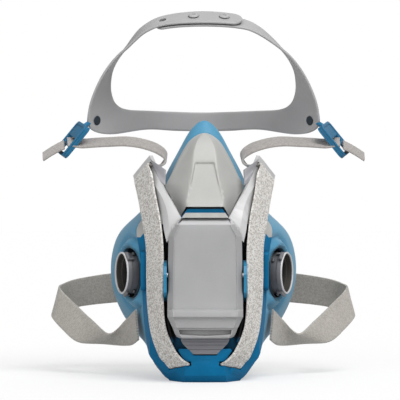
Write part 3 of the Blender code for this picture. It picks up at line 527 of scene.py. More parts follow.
def grid_faces(rows, cols, close_rows=False, close_cols=False):
    """Quads of a grid of points listed row by row."""
    faces = []
    for r in range(rows if close_rows else rows - 1):
        for c in range(cols if close_cols else cols - 1):
            n, j = (r + 1) % rows, (c + 1) % cols
            faces.append((r * cols + c, r * cols + j, n * cols + j, n * cols + c))
    return faces


def fold_cap(base, count):
    """Quads across a ring that folds flat at its first point and at the one half way round."""
    faces = []
    for k in range(count // 2):
        quad = (base + k, base + k + 1, base + (count - k - 1) % count, base + (count - k) % count)
        faces.append(tuple(dict.fromkeys(quad)))
    return faces


def loft(name, rings, closed=False):
    """A solid through closed rings of equal length, capped unless it closes on itself."""
    rows, cols = len(rings), len(rings[0])
    faces = grid_faces(rows, cols, closed, True)
    if not closed:
        faces += [tuple(range(cols))[::-1], tuple((rows - 1) * cols + k for k in range(cols))]
    return skin(name, rings, faces)


def box(low, high):
    """An upright box between two corners, for joining or cutting."""
    (a, b, c), (d, e, f) = low, high
    rings = [[(a, b, z), (d, b, z), (d, e, z), (a, e, z)] for z in (c, f)]
    return loft("part", rings)


def side_box(side, low, high):
    """A box given for the right side, or its mirror image."""
    a, d = sorted((side * low[0], side * high[0]))
    return box((a, *low[1:]), (d, *high[1:]))


def prism_y(outline, front, back):
    """A front-view outline of (x, z) carried from one depth to another."""
    return loft("part", [[(x, y, z) for x, z in outline] for y in (front, back)])


def trapezoid(top_half, top, low_half, low):
    """A front-view outline with a level top and bottom."""
    return [(-top_half, top), (top_half, top), (low_half, low), (-low_half, low)]


def frame_at(origin, axis, across):
    """A matrix whose local Z is the axis and whose local X lies along across."""
    z = Vector(axis).normalized()
    x = Vector(across)
    x = (x - z * x.dot(z)).normalized()
    m = Matrix((x, z.cross(x), z)).transposed().to_4x4()
    m.translation = Vector(origin)
    return m


def turned(name, profile, where, segments=72, closed=False):
    """A profile of (radius, height) turned about a frame's local Z; closed for a ring-shaped piece."""
    verts = []
    for k in range(segments):
        a = 2 * math.pi * k / segments
        for r, h in profile:
            verts.append(where @ Vector((r * math.cos(a), r * math.sin(a), h)))
    return mesh_object(name, verts, grid_faces(segments, len(profile), True, closed))


def rod(radius, start, end, segments=32):
    """A round bar with rounded ends, between two points."""
    start, end = Vector(start), Vector(end)
    axis = end - start
    across = (0, 0, 1) if abs(axis.normalized().z) < 0.9 else (1, 0, 0)
    soft = min(0.3, radius * 0.3)
    top = axis.length
    profile = [(0, 0), (radius - soft, 0), (radius, soft), (radius, top - soft), (radius - soft, top),
               (0, top)]
    return turned("part", profile, frame_at(start, axis, across), segments)


def local_box(where, size, centre=(0, 0, 0)):
    """A box in a local frame."""
    half = Vector(size) / 2
    ob = box(Vector(centre) - half, Vector(centre) + half)
    for v in ob.data.vertices:
        v.co = (where @ (v.co / MM)) * MM
    return ob


def bake(ob):
    """Replace an object's mesh by its evaluated one."""
    bpy.context.view_layer.update()
    deps = bpy.context.evaluated_depsgraph_get()
    mesh = bpy.data.meshes.new_from_object(ob.evaluated_get(deps))
    ob.modifiers.clear()
    ob.data = mesh
    return ob


def boolean(ob, tool, operation="DIFFERENCE"):
    """An exact Boolean with a tool that is then thrown away."""
    mod = ob.modifiers.new("cut", "BOOLEAN")
    mod.operation = operation
    mod.solver = "EXACT"
    mod.object = tool
    bake(ob)
    bpy.data.objects.remove(tool)
    return ob


def round_edges(ob, width, segments, angle):
    """A bevel of the edges sharper than an angle."""
    mod = ob.modifiers.new("round", "BEVEL")
    mod.width = width * MM
    mod.segments = segments
    mod.limit_method = "ANGLE"
    mod.angle_limit = math.radians(angle)


def soften(ob, width=0.4, segments=3, angle=30.0, smooth=38.0, subsurf=0):
    """Round the hard edges and shade smoothly between them."""
    if subsurf:
        mod = ob.modifiers.new("smooth", "SUBSURF")
        mod.levels = mod.render_levels = subsurf
    if width:
        round_edges(ob, width, segments, angle)
    bake(ob)
    shade(ob, smooth)
    return ob


def shade(ob, smooth=38.0):
    """Smooth shading that stays crisp across sharp edges."""
    for poly in ob.data.polygons:
        poly.use_smooth = True
    ob.data.set_sharp_from_angle(angle=math.radians(smooth))
    return ob


def join(first, *others):
    """Gather meshes into the first object."""
    bm = bmesh.new()
    for ob in (first, *others):
        bm.from_mesh(ob.data)
    bm.to_mesh(first.data)
    bm.free()
    for ob in others:
        bpy.data.objects.remove(ob)
    return first


def dress(ob, look, body=None, node=None):
    """Give a piece its material, the body it rides on and the node it stands for."""
    ob.data.materials.clear()
    ob.data.materials.append(look)
    if body:
        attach(ob, body)
    if node:
        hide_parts(node)
    return ob


def edge_lines(stations, side, per_span=9):
    """A band's two edges on one side, as smooth lines through (edge, edge) stations."""
    flip = np.array([side, 1.0, 1.0])
    return [spline([s[k] for s in stations] * flip, per_span) for k in (0, 1)]


def lengths(rows):
    """The length of each row."""
    return np.linalg.norm(rows, axis=1)


def smoothstep(x, low, high):
    """0 below low, 1 above high, smooth between."""
    t = np.clip((np.asarray(x, dtype=float) - low) / (high - low), 0.0, 1.0)
    return t * t * (3 - 2 * t)


def band_normals(first, second):
    """The unit normals of a band, row by row."""
    normal = np.cross(np.gradient((first + second) / 2, axis=0), second - first)
    return normal / lengths(normal)[:, None]


def ribbon(name, first, second, thick, cols=15, lift=None, begin=0.0):
    """A band with rounded edges between two edge lines; lift moves its rows off their plane."""
    first, second = np.array(first), np.array(second)
    mid, across = (first + second) / 2, second - first
    normal = band_normals(first, second)
    width = lengths(across)
    run = np.concatenate([[0], np.cumsum(lengths(np.diff(mid, axis=0)))])
    s = np.sin(np.linspace(-math.pi / 2, math.pi / 2, cols))
    verts, uvs = [], []
    for k in range(len(mid)):
        edge = min(0.5, thick / width[k])
        half = thick / 2 * np.sqrt(1 - np.clip((np.abs(s) - (1 - edge)) / edge, 0, 1) ** 2)
        shift = 0.0 if lift is None else lift[k]
        flat = mid[k] + np.outer(s / 2, across[k])
        upper, lower = (flat + np.outer(shift + h, normal[k]) for h in (half, -half))
        side = [(v * width[k] / 2, begin + run[k]) for v in s]
        verts += list(upper) + list(lower[1:-1][::-1])
        uvs += side + side[1:-1][::-1]
    count = 2 * cols - 2
    faces = grid_faces(len(mid), count, False, True)
    for base in (0, (len(mid) - 1) * count):
        faces += fold_cap(base, count)
    ob = mesh_object(name, verts, faces, uvs)
    return shade(ob, 50.0)


def side_name(side):
    """Left and right as the viewer in front sees them."""
    return "right" if side > 0 else "left"


def side_point(point, side):
    """A point on the right (side 1) or left (side -1)."""
    return Vector((point[0] * side, point[1], point[2]))


# ---- mask body ----
def port_axis(side):
    """The centre of a port's open end, and the direction into the mask."""
    end = Vector((side * PORT_END[0], PORT_END[1], PORT_Z))
    inward = Vector((-side * math.cos(PORT_TILT), math.sin(PORT_TILT), 0))
    return end, inward


def port_hole_frame(side):
    """The frame of the oval hole round a port: a little narrower, and set back from the edge."""
    end, inward = port_axis(side)
    where = frame_at(end, inward, (0, 0, 1)) @ Matrix.Translation((0, side * PORT_HOLE_SHIFT, 0))
    return where @ Matrix.Diagonal((1.0, PORT_HOLE_FLAT, 1.0, 1.0))


def seal_rings():
    """The seal's closed skin: out along the wall, round the rolled lip and back along the inside."""
    front, rim = full_ring(SEAL_FRONT, 5), full_ring(SEAL_RIM, 5)
    front[:, 1] += SPLIT_LAP
    outer = []
    for s in np.linspace(0, 1, 15):
        ring = front + (rim - front) * (0.62 * math.sin(s * math.pi / 2) + 0.38 * s)
        ring[:, 1] = front[:, 1] + (rim[:, 1] - front[:, 1]) * s
        outer.append(ring)
    lip = [inset(rim, *step) for step in LIP_STEPS]
    return outer + lip + [inset(r, SEAL_WALL, 0.0) for r in outer][::-1]


def raise_collar(ob):
    """Swell the wall round each port hole into a soft collar with a groove at its foot."""
    co = np.array([v.co for v in ob.data.vertices]) / MM
    for side in SIDES:
        end, inward = (np.array(v) for v in port_axis(side))
        rel = co - end
        depth = rel @ inward
        radial = rel - np.outer(depth, inward)
        r = lengths(radial)
        near = (co[:, 0] * side > 18) & (r < 30) & (depth < 24)
        medial = np.clip(0.5 - 0.5 * radial[:, 0] * side / np.maximum(r, 1e-6), 0, 1)
        swell = 3.0 * np.exp(-((r - 16.6) / 1.9) ** 2) * (0.45 + 0.55 * medial)
        groove = -2.4 * np.exp(-((r - 20.6) / 1.5) ** 2) * (0.25 + 0.75 * medial)
        clear = smoothstep(co[:, 1], -7.2, -3.6)
        move = np.where(near, (swell + groove) * clear, 0.0)
        co -= np.outer(move, inward)
    for v, p in zip(ob.data.vertices, co):
        v.co = p * MM


def face_seal(look):
    """The soft cup with its rolled lip, port holes and collars."""
    ob = loft("face_seal_skin", seal_rings(), closed=True)
    soften(ob, 0, subsurf=1)
    raise_collar(ob)
    for side in SIDES:
        hole = [(0, -6), (PORT_HOLE, -6), (PORT_HOLE, 19), (0, 19)]
        boolean(ob, turned("tool", hole, port_hole_frame(side)))
    soften(ob, 0.45, 3, 40.0, 60.0)
    dress(ob, look, "facepiece", "face_seal")


def shell_bowl(name):
    """The rigid front before it is divided: rounded side, shoulder and front, with an inner skin."""
    edge, shoulder, face = (full_ring(r, 6) for r in (SEAL_FRONT, SHELL_SHOULDER, SHELL_FACE))
    near = edge + (shoulder - edge) * 0.75
    past = shoulder + (face - shoulder) * 0.16
    bend = (near + past) / 2 * 0.5 + shoulder * 0.5
    outer = [edge, near, bend, past, face]
    thin = SHELL_WALL * 0.8
    inner = [inset(edge, SHELL_WALL, 0.0), inset(near, SHELL_WALL, 0.6), inset(shoulder, thin, 1.5),
             inset(past, thin, 1.9), inset(face, 0.8, SHELL_WALL)]
    count, rows = len(edge), len(outer)
    faces = []
    for base in (0, rows * count):
        faces += [tuple(base + v for v in f) for f in grid_faces(rows, count, False, True)]
        faces += fold_cap(base + (rows - 1) * count, count)
    for k in range(count):
        j = (k + 1) % count
        faces.append((k, j, rows * count + j, rows * count + k))
    return skin(name, outer + inner, faces)


def shield_surface():
    """The shield as a height field: rounded plateau, swept flanks, sunk panel; closed at the back."""
    table = spline(SHIELD, 7)
    u = np.linspace(-1, 1, 61)
    front, back = [], []
    for z, w, edge_y, ridge, ridge_y in table:
        x = u * w
        t = np.clip((np.abs(x) - ridge) / max(w - ridge, 0.1), 0, 1)
        fall = 0.55 * smoothstep(t, -0.25, 1.0) + 0.45 * t ** 1.4
        fall = (fall - fall.min()) / max(fall.max() - fall.min(), 1e-6)
        y = ridge_y + (edge_y - ridge_y) * fall
        half = np.interp(z, [PANEL_LOW, PANEL_TOP], [10.6, 5.4])
        inside = smoothstep(half - np.abs(x), -0.15, 0.75)
        tall = smoothstep(PANEL_TOP - z, -0.1, 0.9) * smoothstep(z - PANEL_LOW, -0.4, 1.2)
        y = y + PANEL_SINK * inside * tall
        front.append([(a, b, z) for a, b in zip(x, y)])
        back.append([(a * 0.8, SHIELD_BACK, z) for a in x])
    rows, cols = len(front), len(u)
    rings = [front[r] + back[r][::-1] for r in range(rows)]
    faces = grid_faces(rows, 2 * cols, False, True)
    for base in (0, (rows - 1) * 2 * cols):
        for c in range(cols - 1):
            faces.append((base + c, base + c + 1, base + 2 * cols - 2 - c, base + 2 * cols - 1 - c))
    return skin("shield", rings, faces)


def nose_shell(look):
    """The grey upper shell and its shield, with a slot window above the catch."""
    ob = shell_bowl("nose_shell_skin")
    boolean(ob, prism_y(SPLIT_LINE + [(90, -10), (-90, -10)], -80, 80))
    soften(ob, 0.5)
    shield = shield_surface()
    boolean(shield, prism_y(trapezoid(10.6, 97.9, 14.4, 91), -60, -10))
    soften(shield, 0.45, 3, 34.0, 30.0)
    join(ob, shield)
    dress(ob, look, "facepiece", "nose_shell")


def foot_ring(z, corners):
    """One level of the foot, mirrored."""
    return [(x, y, z) for x, y in corners] + [(-x, y, z) for x, y in corners[:-1][::-1]]


def strap_slot(side):
    """The slanted slot in the chin that a front strap's end goes into."""
    a, b, c, d = (side_point(p, side) for p in (*FRONT_STRAP[-1], *FRONT_STRAP[-2]))
    where = frame_at((a + b) / 2, a + b - c - d, b - a)
    return local_box(where, (16.2, WEB_T + 1.2, 9))


def chin_housing(look):
    """The blue lower shell: chamfered foot, bib with its notch, side brackets and strap slots."""
    ob = shell_bowl("chin_housing_skin")
    above = [(x, z + SPLIT_LAP) for x, z in SPLIT_LINE]
    boolean(ob, prism_y(above + [(90, 200), (-90, 200)], -80, 80))
    boolean(ob, box((-15.5, -60, 33), (15.5, -20, 69)))
    boolean(ob, loft("tool", [foot_ring(z, c) for z, c in FOOT]), "UNION")
    bib = [(-11.4, 12), (-14.9, 18), (-14.2, 19), (-9.2, 19), (-6.4, 15.3), (6.4, 15.3), (9.2, 19),
           (14.2, 19), (14.9, 18), (11.4, 12)]
    boolean(ob, prism_y(bib, -35.9, -30.4), "UNION")
    for side in SIDES:
        boolean(ob, strap_slot(side))
    soften(ob, 0.55, 3, 28.0, 34.0)
    extras = []
    for side in SIDES:
        xs = sorted((side * 32.4, side * 36.2))
        outline = [(-17, 52.2), (-15.4, 50.6), (-9, 50.6), (-8, 52), (-8, 71.2), (-9, 72.6),
                   (-15.4, 72.6), (-17, 71)]
        extras.append(soften(loft("bracket", [[(x, y, z) for y, z in outline] for x in xs]), 0.6))
        rail = [(side * 18.2, -35.2, 22.5), (side * 21.0, -34.2, 36.0), (side * 21.6, -33.4, 50.0)]
        extras.append(soften(rod(0.9, rail[0], rail[1], 16), 0))
    join(ob, *extras)
    dress(ob, look, "facepiece", "chin_housing")


def exhaust_duct(look):
    """The ribbed outlet below the cover."""
    steps = [(24.9, 13.6, -36.9), (23, 13.2, -36.5), (21.2, 12, -36.2), (18.6, 9.4, -35.9),
             (15.9, 6.6, -36.4)]
    slabs = []
    for (top, wide, front), (low, narrow, _) in zip(steps, steps[1:]):
        slabs.append(soften(prism_y(trapezoid(wide, top, narrow, low), front, -31.9), 0.3))
    slabs.append(soften(prism_y(trapezoid(12.8, 24.4, 6.4, 16.2), -34.6, -32.2), 0.2))
    ob = join(*slabs)
    ob.name = "exhaust_duct_ribs"
    dress(ob, look, "facepiece", "exhaust_duct")


def port(side, look, shadowed, lip_painted_highlight):
    """A bayonet inlet: rounded mouth, stepped tube, inner flange and three stepped lugs."""
    end, inward = port_axis(side)
    where = frame_at(end, inward, (0, 0, 1))
    tag = side_name(side)

    def ring(part, profile, finish, frame=where, segments=96, smooth=38.0, slot="dark_plastic"):
        """One turned ring of the port."""
        made = shade(turned(f"port_{tag}_{part}", profile, frame, segments, True), smooth)
        return dress(made, finish, "facepiece")

    r, b, n, h = PORT_R, PORT_BORE, PORT_LENGTH, PORT_HOLE
    m = r - 0.9
    profile = [(m, 0.4), (m + 0.12, 0.1), (m + 0.3, 0.0), (r - 0.3, 0.0), (r - 0.08, 0.12), (r, 0.4),
               (r, 3.0), (r - 0.3, 3.3), (r - 0.3, 7.6), (r, 7.9), (r, n - 0.2), (r + 2.6, n - 0.2),
               (r + 3.0, n + 0.3), (r + 3.0, n + 1.4), (r + 2.6, n + 1.6), (b, n + 1.6), (b, 4.0),
               (m - 0.2, 3.6), (m, 3.2)]
    tube = ring("tube", profile, look, smooth=32.0)
    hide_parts("port_" + tag)
    lugs = []
    for angle in LUG_ANGLES:
        a = math.radians(angle) * side
        radial = Vector((math.cos(a), math.sin(a), 0))
        lug = where @ frame_at(radial * r, (0, 0, 1), radial)
        for size, centre, edge in LUG_BLOCKS:
            lugs.append(soften(local_box(lug, size, centre), edge))
    join(tube, *lugs)
    lip = [(m - 0.1, 0.5), (m - 0.1, 0.1), (m + 0.15, -0.15), (r - 0.25, -0.15), (r + 0.05, 0.15),
           (r + 0.05, 0.6)]
    # The pale lip ring is a painted highlight round the mouth.
    ring("lip", lip, lip_painted_highlight)
    bore = [(m + 0.02, 0.9), (m - 0.3, 0.9), (m - 0.35, 3.3), (b - 0.3, 3.8), (b - 0.3, 12.6),
            (b + 0.05, 12.6), (b + 0.05, 4.0), (m + 0.02, 3.3)]
    # The dark bore lining is painted shade inside the tube.
    ring("bore", bore, shadowed[0])
    sleeve = [(h - 0.3, 6.6), (h + 0.3, 6.6), (h + 0.6, 7.2), (h + 0.6, n + 4.6), (11.6, n + 4.6),
              (11.6, n + 3.9), (h - 0.3, n + 3.9)]
    # The near-black sleeve paints the shadow in the gap round the tube.
    ring("sleeve", sleeve, shadowed[1], port_hole_frame(side), 72, slot="silicone")


# ---- latch ----
def cover_shell(look):
    """The cover: chamfered rim, broad face, ledge, lower band and outlet, hollow behind."""
    side_z, side_w = zip(*COVER_SIDE[::-1])
    face_z, face_y = zip(*COVER_FACE)
    half = [0, 0.3, 0.6, 0.825, 0.84, 0.855, 0.88, 0.95, 0.985, 1]
    marks = np.array([-m for m in half[:0:-1]] + half)
    rows = []
    for z in sorted({*face_z, *COVER_LEVELS}, reverse=True):
        w = float(np.interp(z, side_z, side_w))
        y = float(np.interp(z, face_z, face_y))
        rim = (-40.2 if z > 87.7 else -39.8) if z > 41 else y + 4.4
        step = 0.5 * float(np.interp(z, [40.9, 41.4, 87.7, 88.1], [0, 1, 1, 0]))
        profile = [y, y + 0.04, y + 0.14, y - step * 0.7, y - step * 0.5, y + 0.8,
                   rim - 1.8, rim - 0.8, rim]
        depth = np.interp(np.abs(marks), half[:1] + half[2:], profile)
        rows.append([(m * w, d, z) for m, d in zip(marks, depth)])
    wall = [[(r[0][0], COVER_BACK, r[0][2])] + r + [(r[-1][0], COVER_BACK, r[-1][2])] for r in rows]
    head = [(p[0], COVER_BACK, p[2]) for p in wall[0]]
    foot = [(p[0], -38.0, p[2]) for p in wall[-1]]
    grid = [head] + wall + [foot]
    ob = skin("latch_cover_shell", grid, grid_faces(len(grid), len(head)))
    mod = ob.modifiers.new("wall", "SOLIDIFY")
    mod.thickness = COVER_WALL * MM
    mod.offset = -1.0
    bake(ob)
    outlet = [(-14.5, 29.9), (14.5, 29.9), (14.1, 27.5), (8, 27), (0, 26.7), (-8, 27), (-14.1, 27.5)]
    boolean(ob, prism_y(outlet, -60, -40.5))
    soften(ob, 0.22, 3, 24.0, 30.0)
    join(ob, soften(prism_y(trapezoid(14.2, 30.6, 13.6, 26.2), -42.2, -41.0), 0.3))
    dress(ob, look, "latch", "latch_cover")


def yoke_arm(side):
    """One arm: a blade folded along a ridge, then the strap eye cut through its end."""
    first, second = edge_lines(ARM, side, ARM_STEPS)
    across = second - first
    normal = band_normals(first, second)
    normal *= np.where(normal[:, 1:2] > 0, -1.0, 1.0)
    t = np.linspace(0, 1, len(first))
    spot = (0.66 - 0.40 * smoothstep(t, 0.15, 0.60))[:, None]
    rise = (0.3 + 1.5 * smoothstep(t, 0.0, 0.35) - 1.6 * smoothstep(t, 0.74, 0.92))[:, None]
    ridge = first + across * spot + normal * rise
    back = normal * ARM_WALL
    edges = (first, ridge, second, second - back, ridge - back, first - back)
    arm = loft("arm", [list(points) for points in zip(*edges)])
    boolean(arm, local_box(eye_frame(side), (EYE_WIDTH, EYE_SLOT, 14)))
    return soften(arm, 0.35, 3, 20.0, 26.0)


def arm_web(side):
    """The side wall that joins the arm's inner edge towards the nose."""
    first = edge_lines(ARM, side, ARM_STEPS)[0][26:39]
    t = np.linspace(0, 1, len(first))[:, None]
    low, high = (np.array(p) * [side, 1, 1] for p in WEB_EDGE)
    second = low + (high - low) * t
    first = first + np.array([0.4 * side, 0.5, -0.2])
    return soften(ribbon("web", first, second, 1.5, 7), 0)


def eye_frame(side):
    """The frame of a strap eye: local X along the slot, local Z through the arm towards the front."""
    a, b, c, d = (np.array(p) * [side, 1, 1] for p in (*ARM[-1], *ARM[-2]))
    down = (c + d - a - b) / 2
    down = down / np.linalg.norm(down)
    through = np.cross(b - a, down)
    if through[1] > 0:
        through = -through
    return frame_at((a + b) / 2 + down * (EYE_BAR + EYE_SLOT / 2), through, b - a)


def latch_yoke(look, shaded):
    """The forked lever: plates on the pins, a bridge and two ridged arms, with webs beside them."""
    bits = [soften(box((-17.9, -41.5, 76.5), (17.9, -37, 79.5)), 0.5)]
    webs = []
    for side in SIDES:
        bits.append(soften(side_box(side, (15.8, -41.6, 56), (17.9, -34.4, 79.6)), 0.4))
        bits.append(soften(side_box(side, (11, -38.4, 78), (18.4, -34.6, 87.5)), 0.4))
        bits.append(yoke_arm(side))
        webs.append(arm_web(side))
    web = join(*webs)
    web.name = "latch_yoke_webs"
    dress(web, shaded, "latch")
    ob = join(*bits)
    ob.name = "latch_yoke_arms"
    dress(ob, look, "latch", "latch_yoke")


# ---- harness ----
def cradle_edges(side, values):
    """Both edges of the cradle at spline parameters; negative values run over the top centre."""
    edges = []
    for control in (CRADLE_INNER, CRADLE_OUTER):
        dense = half_line(control, 24)
        u = np.linspace(0, len(control) - 1, len(dense))
        line = np.stack([np.interp(np.abs(values), u, dense[:, k]) for k in range(3)], axis=1)
        line[:, 0] *= np.where(np.array(values) < 0, -1.0, 1.0) * side
        edges.append(line)
    return edges


def crown_point(x):
    """The middle of the crown band at a sideways position, and its outward normal."""
    values = np.linspace(0, 3, 361)
    inner, outer = cradle_edges(1 if x >= 0 else -1, values)
    middle = (inner + outer) / 2
    k = int(np.argmin(np.abs(middle[:, 0] - x)))
    normal = Vector(np.cross(middle[k + 1] - middle[max(k - 1, 0)], outer[k] - inner[k])).normalized()
    return Vector(middle[k]), normal if normal.z > 0 else -normal


def taper_ends(first, second):
    """Round a band's two ends by drawing its edges together over seven rows."""
    rows = 7
    for k in range(rows):
        keep = math.sqrt(1 - (1 - (k + 0.35) / rows) ** 2)
        for line in ((first, second), (first[::-1], second[::-1])):
            mid = (line[0][k] + line[1][k]) / 2
            line[0][k] = mid + (line[0][k] - mid) * keep
            line[1][k] = mid + (line[1][k] - mid) * keep
    return first, second


def hook_frame(side):
    """The frame of a cradle lobe's square hole, where a buckle hooks in; local Z points outwards."""
    return frame_at(side_point(HOOK_POS, side), side_point(HOOK_AXIS, side), (0, 0, 1))


def head_cradle(look):
    """One moulded band with rounded, overlapping crown ends, a lobe at each side and the rear band."""
    last = len(CRADLE_INNER) - 1
    dense = np.linspace(0, 0.32, 8)
    under = np.concatenate([-1.6 + dense[:-1], np.linspace(-1.28, last, 110)])
    over = np.concatenate([np.linspace(last, -0.78, 104)[1:], -0.78 - dense[1:]])
    right_in, right_out = cradle_edges(1, under)
    left_in, left_out = cradle_edges(-1, over)
    first, second = taper_ends(np.vstack([right_in, left_in]), np.vstack([right_out, left_out]))
    lift = np.concatenate([np.zeros(len(under)), OVERLAP_LIFT * smoothstep(3.0 - over, 0.0, 0.9)])
    if band_normals(first, second)[-9][2] < 0:
        lift = -lift
    ob = ribbon("head_cradle_band", first, second, CRADLE_T, lift=lift)
    for x in (*STUD_X, HOLE_X):
        base, axis = crown_point(x)
        radius = 1.75 if x in STUD_X else 2.3
        boolean(ob, rod(radius, base - axis * 6, base + axis * 9, 32))
    for side in SIDES:
        where = hook_frame(side) @ Matrix.Rotation(math.pi / 4, 4, "Z")
        boolean(ob, local_box(where, (4.2, 4.2, 14)))
    soften(ob, 0.22, 2, 50.0, 50.0)
    dress(ob, look, "harness", "head_cradle")


def crown_stud(index, look):
    """A snap stud: domed head with a socket, stem and foot."""
    base, axis = crown_point(STUD_X[index])
    where = frame_at(base, axis, (1, 0, 0))
    low = -CRADLE_T / 2 - GAP
    high = OVERLAP_LIFT + CRADLE_T / 2 + GAP
    profile = [(0, low - 1.0), (2.6, low - 1.0), (3.0, low - 0.7), (3.0, low), (1.4, low), (1.4, high),
               (2.9, high), (3.05, high + 0.35), (2.7, high + 0.85), (1.9, high + 1.1), (1.2, high + 1.0),
               (0.9, high + 0.6), (0, high + 0.5)]
    tag = ("left", "right")[index]
    ob = shade(turned(f"crown_stud_{tag}_snap", profile, where, 48))
    dress(ob, look, "harness", "crown_stud_" + tag)


def buckle_frame(side):
    """Local X along the strap's run, local Y across the webbing, local Z through the buckle."""
    start, end = side_point(BUCKLE_START, side), side_point(BUCKLE_END, side)
    run = end - start
    across = side_point(BUCKLE_ACROSS, side)
    across = (across - run.normalized() * across.dot(run.normalized())).normalized()
    return frame_at((start + end) / 2, run.cross(across), run), run.length


def plate(where, half_x, half_y, radius, low, high, offset=0):
    """A plate with rounded corners in a local frame, moved by an offset along its X."""
    outline = []
    for cx, cy, start in ((1, 1, 0), (-1, 1, 90), (-1, -1, 180), (1, -1, 270)):
        for a in (math.radians(start + 90 * k / 6) for k in range(7)):
            outline.append((cx * (half_x - radius) + radius * math.cos(a) + offset,
                            cy * (half_y - radius) + radius * math.sin(a)))
    return loft("plate", [[where @ Vector((x, y, z)) for x, y in outline] for z in (low, high)])


def buckle(side, look, shadowed):
    """A three-bar slide with a raised rim, two webbing slots and a hooked stem."""
    where, length = buckle_frame(side)
    tag = side_name(side)
    half_t = BUCKLE_T / 2
    ob = plate(where, length / 2 + 0.4, BUCKLE_W / 2, 3.0, -half_t, half_t)
    for offset in BUCKLE_SLOTS:
        boolean(ob, plate(where, 2.1, 10.6, 1.2, -9, 9, offset))
    soften(ob, 0.6, 3)
    rims = []
    for z in (-half_t, half_t):
        rim = plate(where, length / 2 + 0.7, BUCKLE_W / 2 + 0.3, 3.2, z - 0.45, z + 0.45)
        boolean(rim, plate(where, length / 2 - 1.3, BUCKLE_W / 2 - 1.6, 2.0, -9, 9))
        rims.append(soften(rim, 0.3))
    hook = hook_frame(side)
    outside = hook @ Vector((0, 0, 2.4))
    neck = side_point(BUCKLE_START, side) + where.to_3x3() @ Vector((1.6, 0, 0))
    rims.append(shade(rod(1.5, outside, neck, 20)))
    rims.append(shade(turned("head", [(0, 0.2), (1.1, 0.2), (1.2, 1.1), (4, 1.15), (4.3, 1.6), (4, 2.4),
                                      (2.6, 3), (0, 3.1)], hook, 32)))
    join(ob, *rims)
    ob.name = f"buckle_{tag}_slide"
    # The dark socket disc behind the hook hole is painted shadow seen through the hole.
    cup = [(0, -0.9), (2.7, -0.9), (2.7, 0.3), (0, 0.3)]
    socket = soften(turned(f"buckle_{tag}_socket", cup, hook, 32), 0.15)
    dress(socket, shadowed, f"buckle_{tag}_body")
    dress(ob, look, f"buckle_{tag}_body", "buckle_" + tag)


# ---- straps ----
def strap(node, stations, side, look):
    """A woven strap through (edge, edge) stations, standing for a CAD strap."""
    ob = ribbon(node + "_web", *edge_lines(stations, side), WEB_T)
    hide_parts(node)
    return dress(ob, look)


def eye_station(side, ahead):
    """A strap's two edges where it passes a strap eye, ahead millimetres in front of the slot."""
    where = eye_frame(side)
    half = EYE_WIDTH / 2 - 0.4
    pair = [where @ Vector((x, 0, ahead)) for x in (-half, half)]
    return tuple((p.x * side, p.y, p.z) for p in pair)


def front_strap(side, look):
    """The strap from the chin slot up to the strap eye."""
    stations = [eye_station(side, -1.8), eye_station(side, 1.6)] + FRONT_STRAP
    ob = strap("front_strap_" + side_name(side), stations, side, look)
    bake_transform(ob)


def upper_strap(side, look):
    """The strap from the eye through the slide, in two runs that meet at a split station."""
    tag = side_name(side)
    first, second = edge_lines([eye_station(side, -2.2)] + UPPER_STRAP, side)
    cut = (STRAP_SPLIT + 1) * 9
    middle = (first + second) / 2
    begin = float(lengths(np.diff(middle[:cut + 1], axis=0)).sum())
    low = ribbon(f"upper_strap_{tag}_lower", first[:cut + 1], second[:cut + 1], WEB_T)
    high = ribbon(f"upper_strap_{tag}_upper", first[cut:], second[cut:], WEB_T, begin=begin)
    for ob in (low, high):
        dress(ob, look)
    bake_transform(low)
    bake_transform(high)
    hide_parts("upper_strap_" + tag)


def strap_tail(side, look):
    """The free end beyond the slide."""
    tag = side_name(side)
    ob = strap("strap_tail_" + tag, TAIL, side, look)
    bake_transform(ob)


def neck_strap(side, look):
    """The strap from the housing's side round to the rear clasp."""
    ob = strap("neck_strap_" + side_name(side), NECK_STRAP, side, look)
    if side > 0:
        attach(ob, "facepiece")
    else:
        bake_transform(ob)


def stitches(name, rows, body, look):
    """Rows of thread across a strap: rows of (start, end, outward direction, count)."""
    bits = []
    for start, end, out, count in rows:
        start, end, out = Vector(start), Vector(end), Vector(out).normalized()
        step = (end - start) / count
        for k in range(count):
            middle = start + step * (k + 0.5)
            bits.append(turned("thread", [(0, -0.8), (0.22, -0.55), (0.28, 0), (0.22, 0.55), (0, 0.8)],
                               frame_at(middle, step + out * 0.05, out), 8))
    ob = shade(join(*bits), 80.0)
    ob.name = name
    dress(ob, look, body)


# ---- carried-over CAD nodes ----
def finish_node(name, look, width):
    """Give a CAD node that keeps its shape a finer edge and its material."""
    ob = frame["nodes"][name]
    ob.data.materials.clear()
    ob.data.materials.append(look)
    for poly in ob.data.polygons:
        poly.material_index = 0
    round_edges(ob, width, 2, 35.0)


# ---- studio ----
# Name, direction, angular size in degrees and strength.
LAMPS = [("key", (0.55, -0.9, 1.5), 40, 2.3), ("fill", (-0.5, -1.2, 0.35), 70, 0.9),
         ("back", (0.2, 1.0, 1.1), 60, 0.4)]
CAMERA_PLACE = (-0.0160, -1.300, 0.1017)
CAMERA_TURN = -0.596
CAMERA_LENS = 204.75


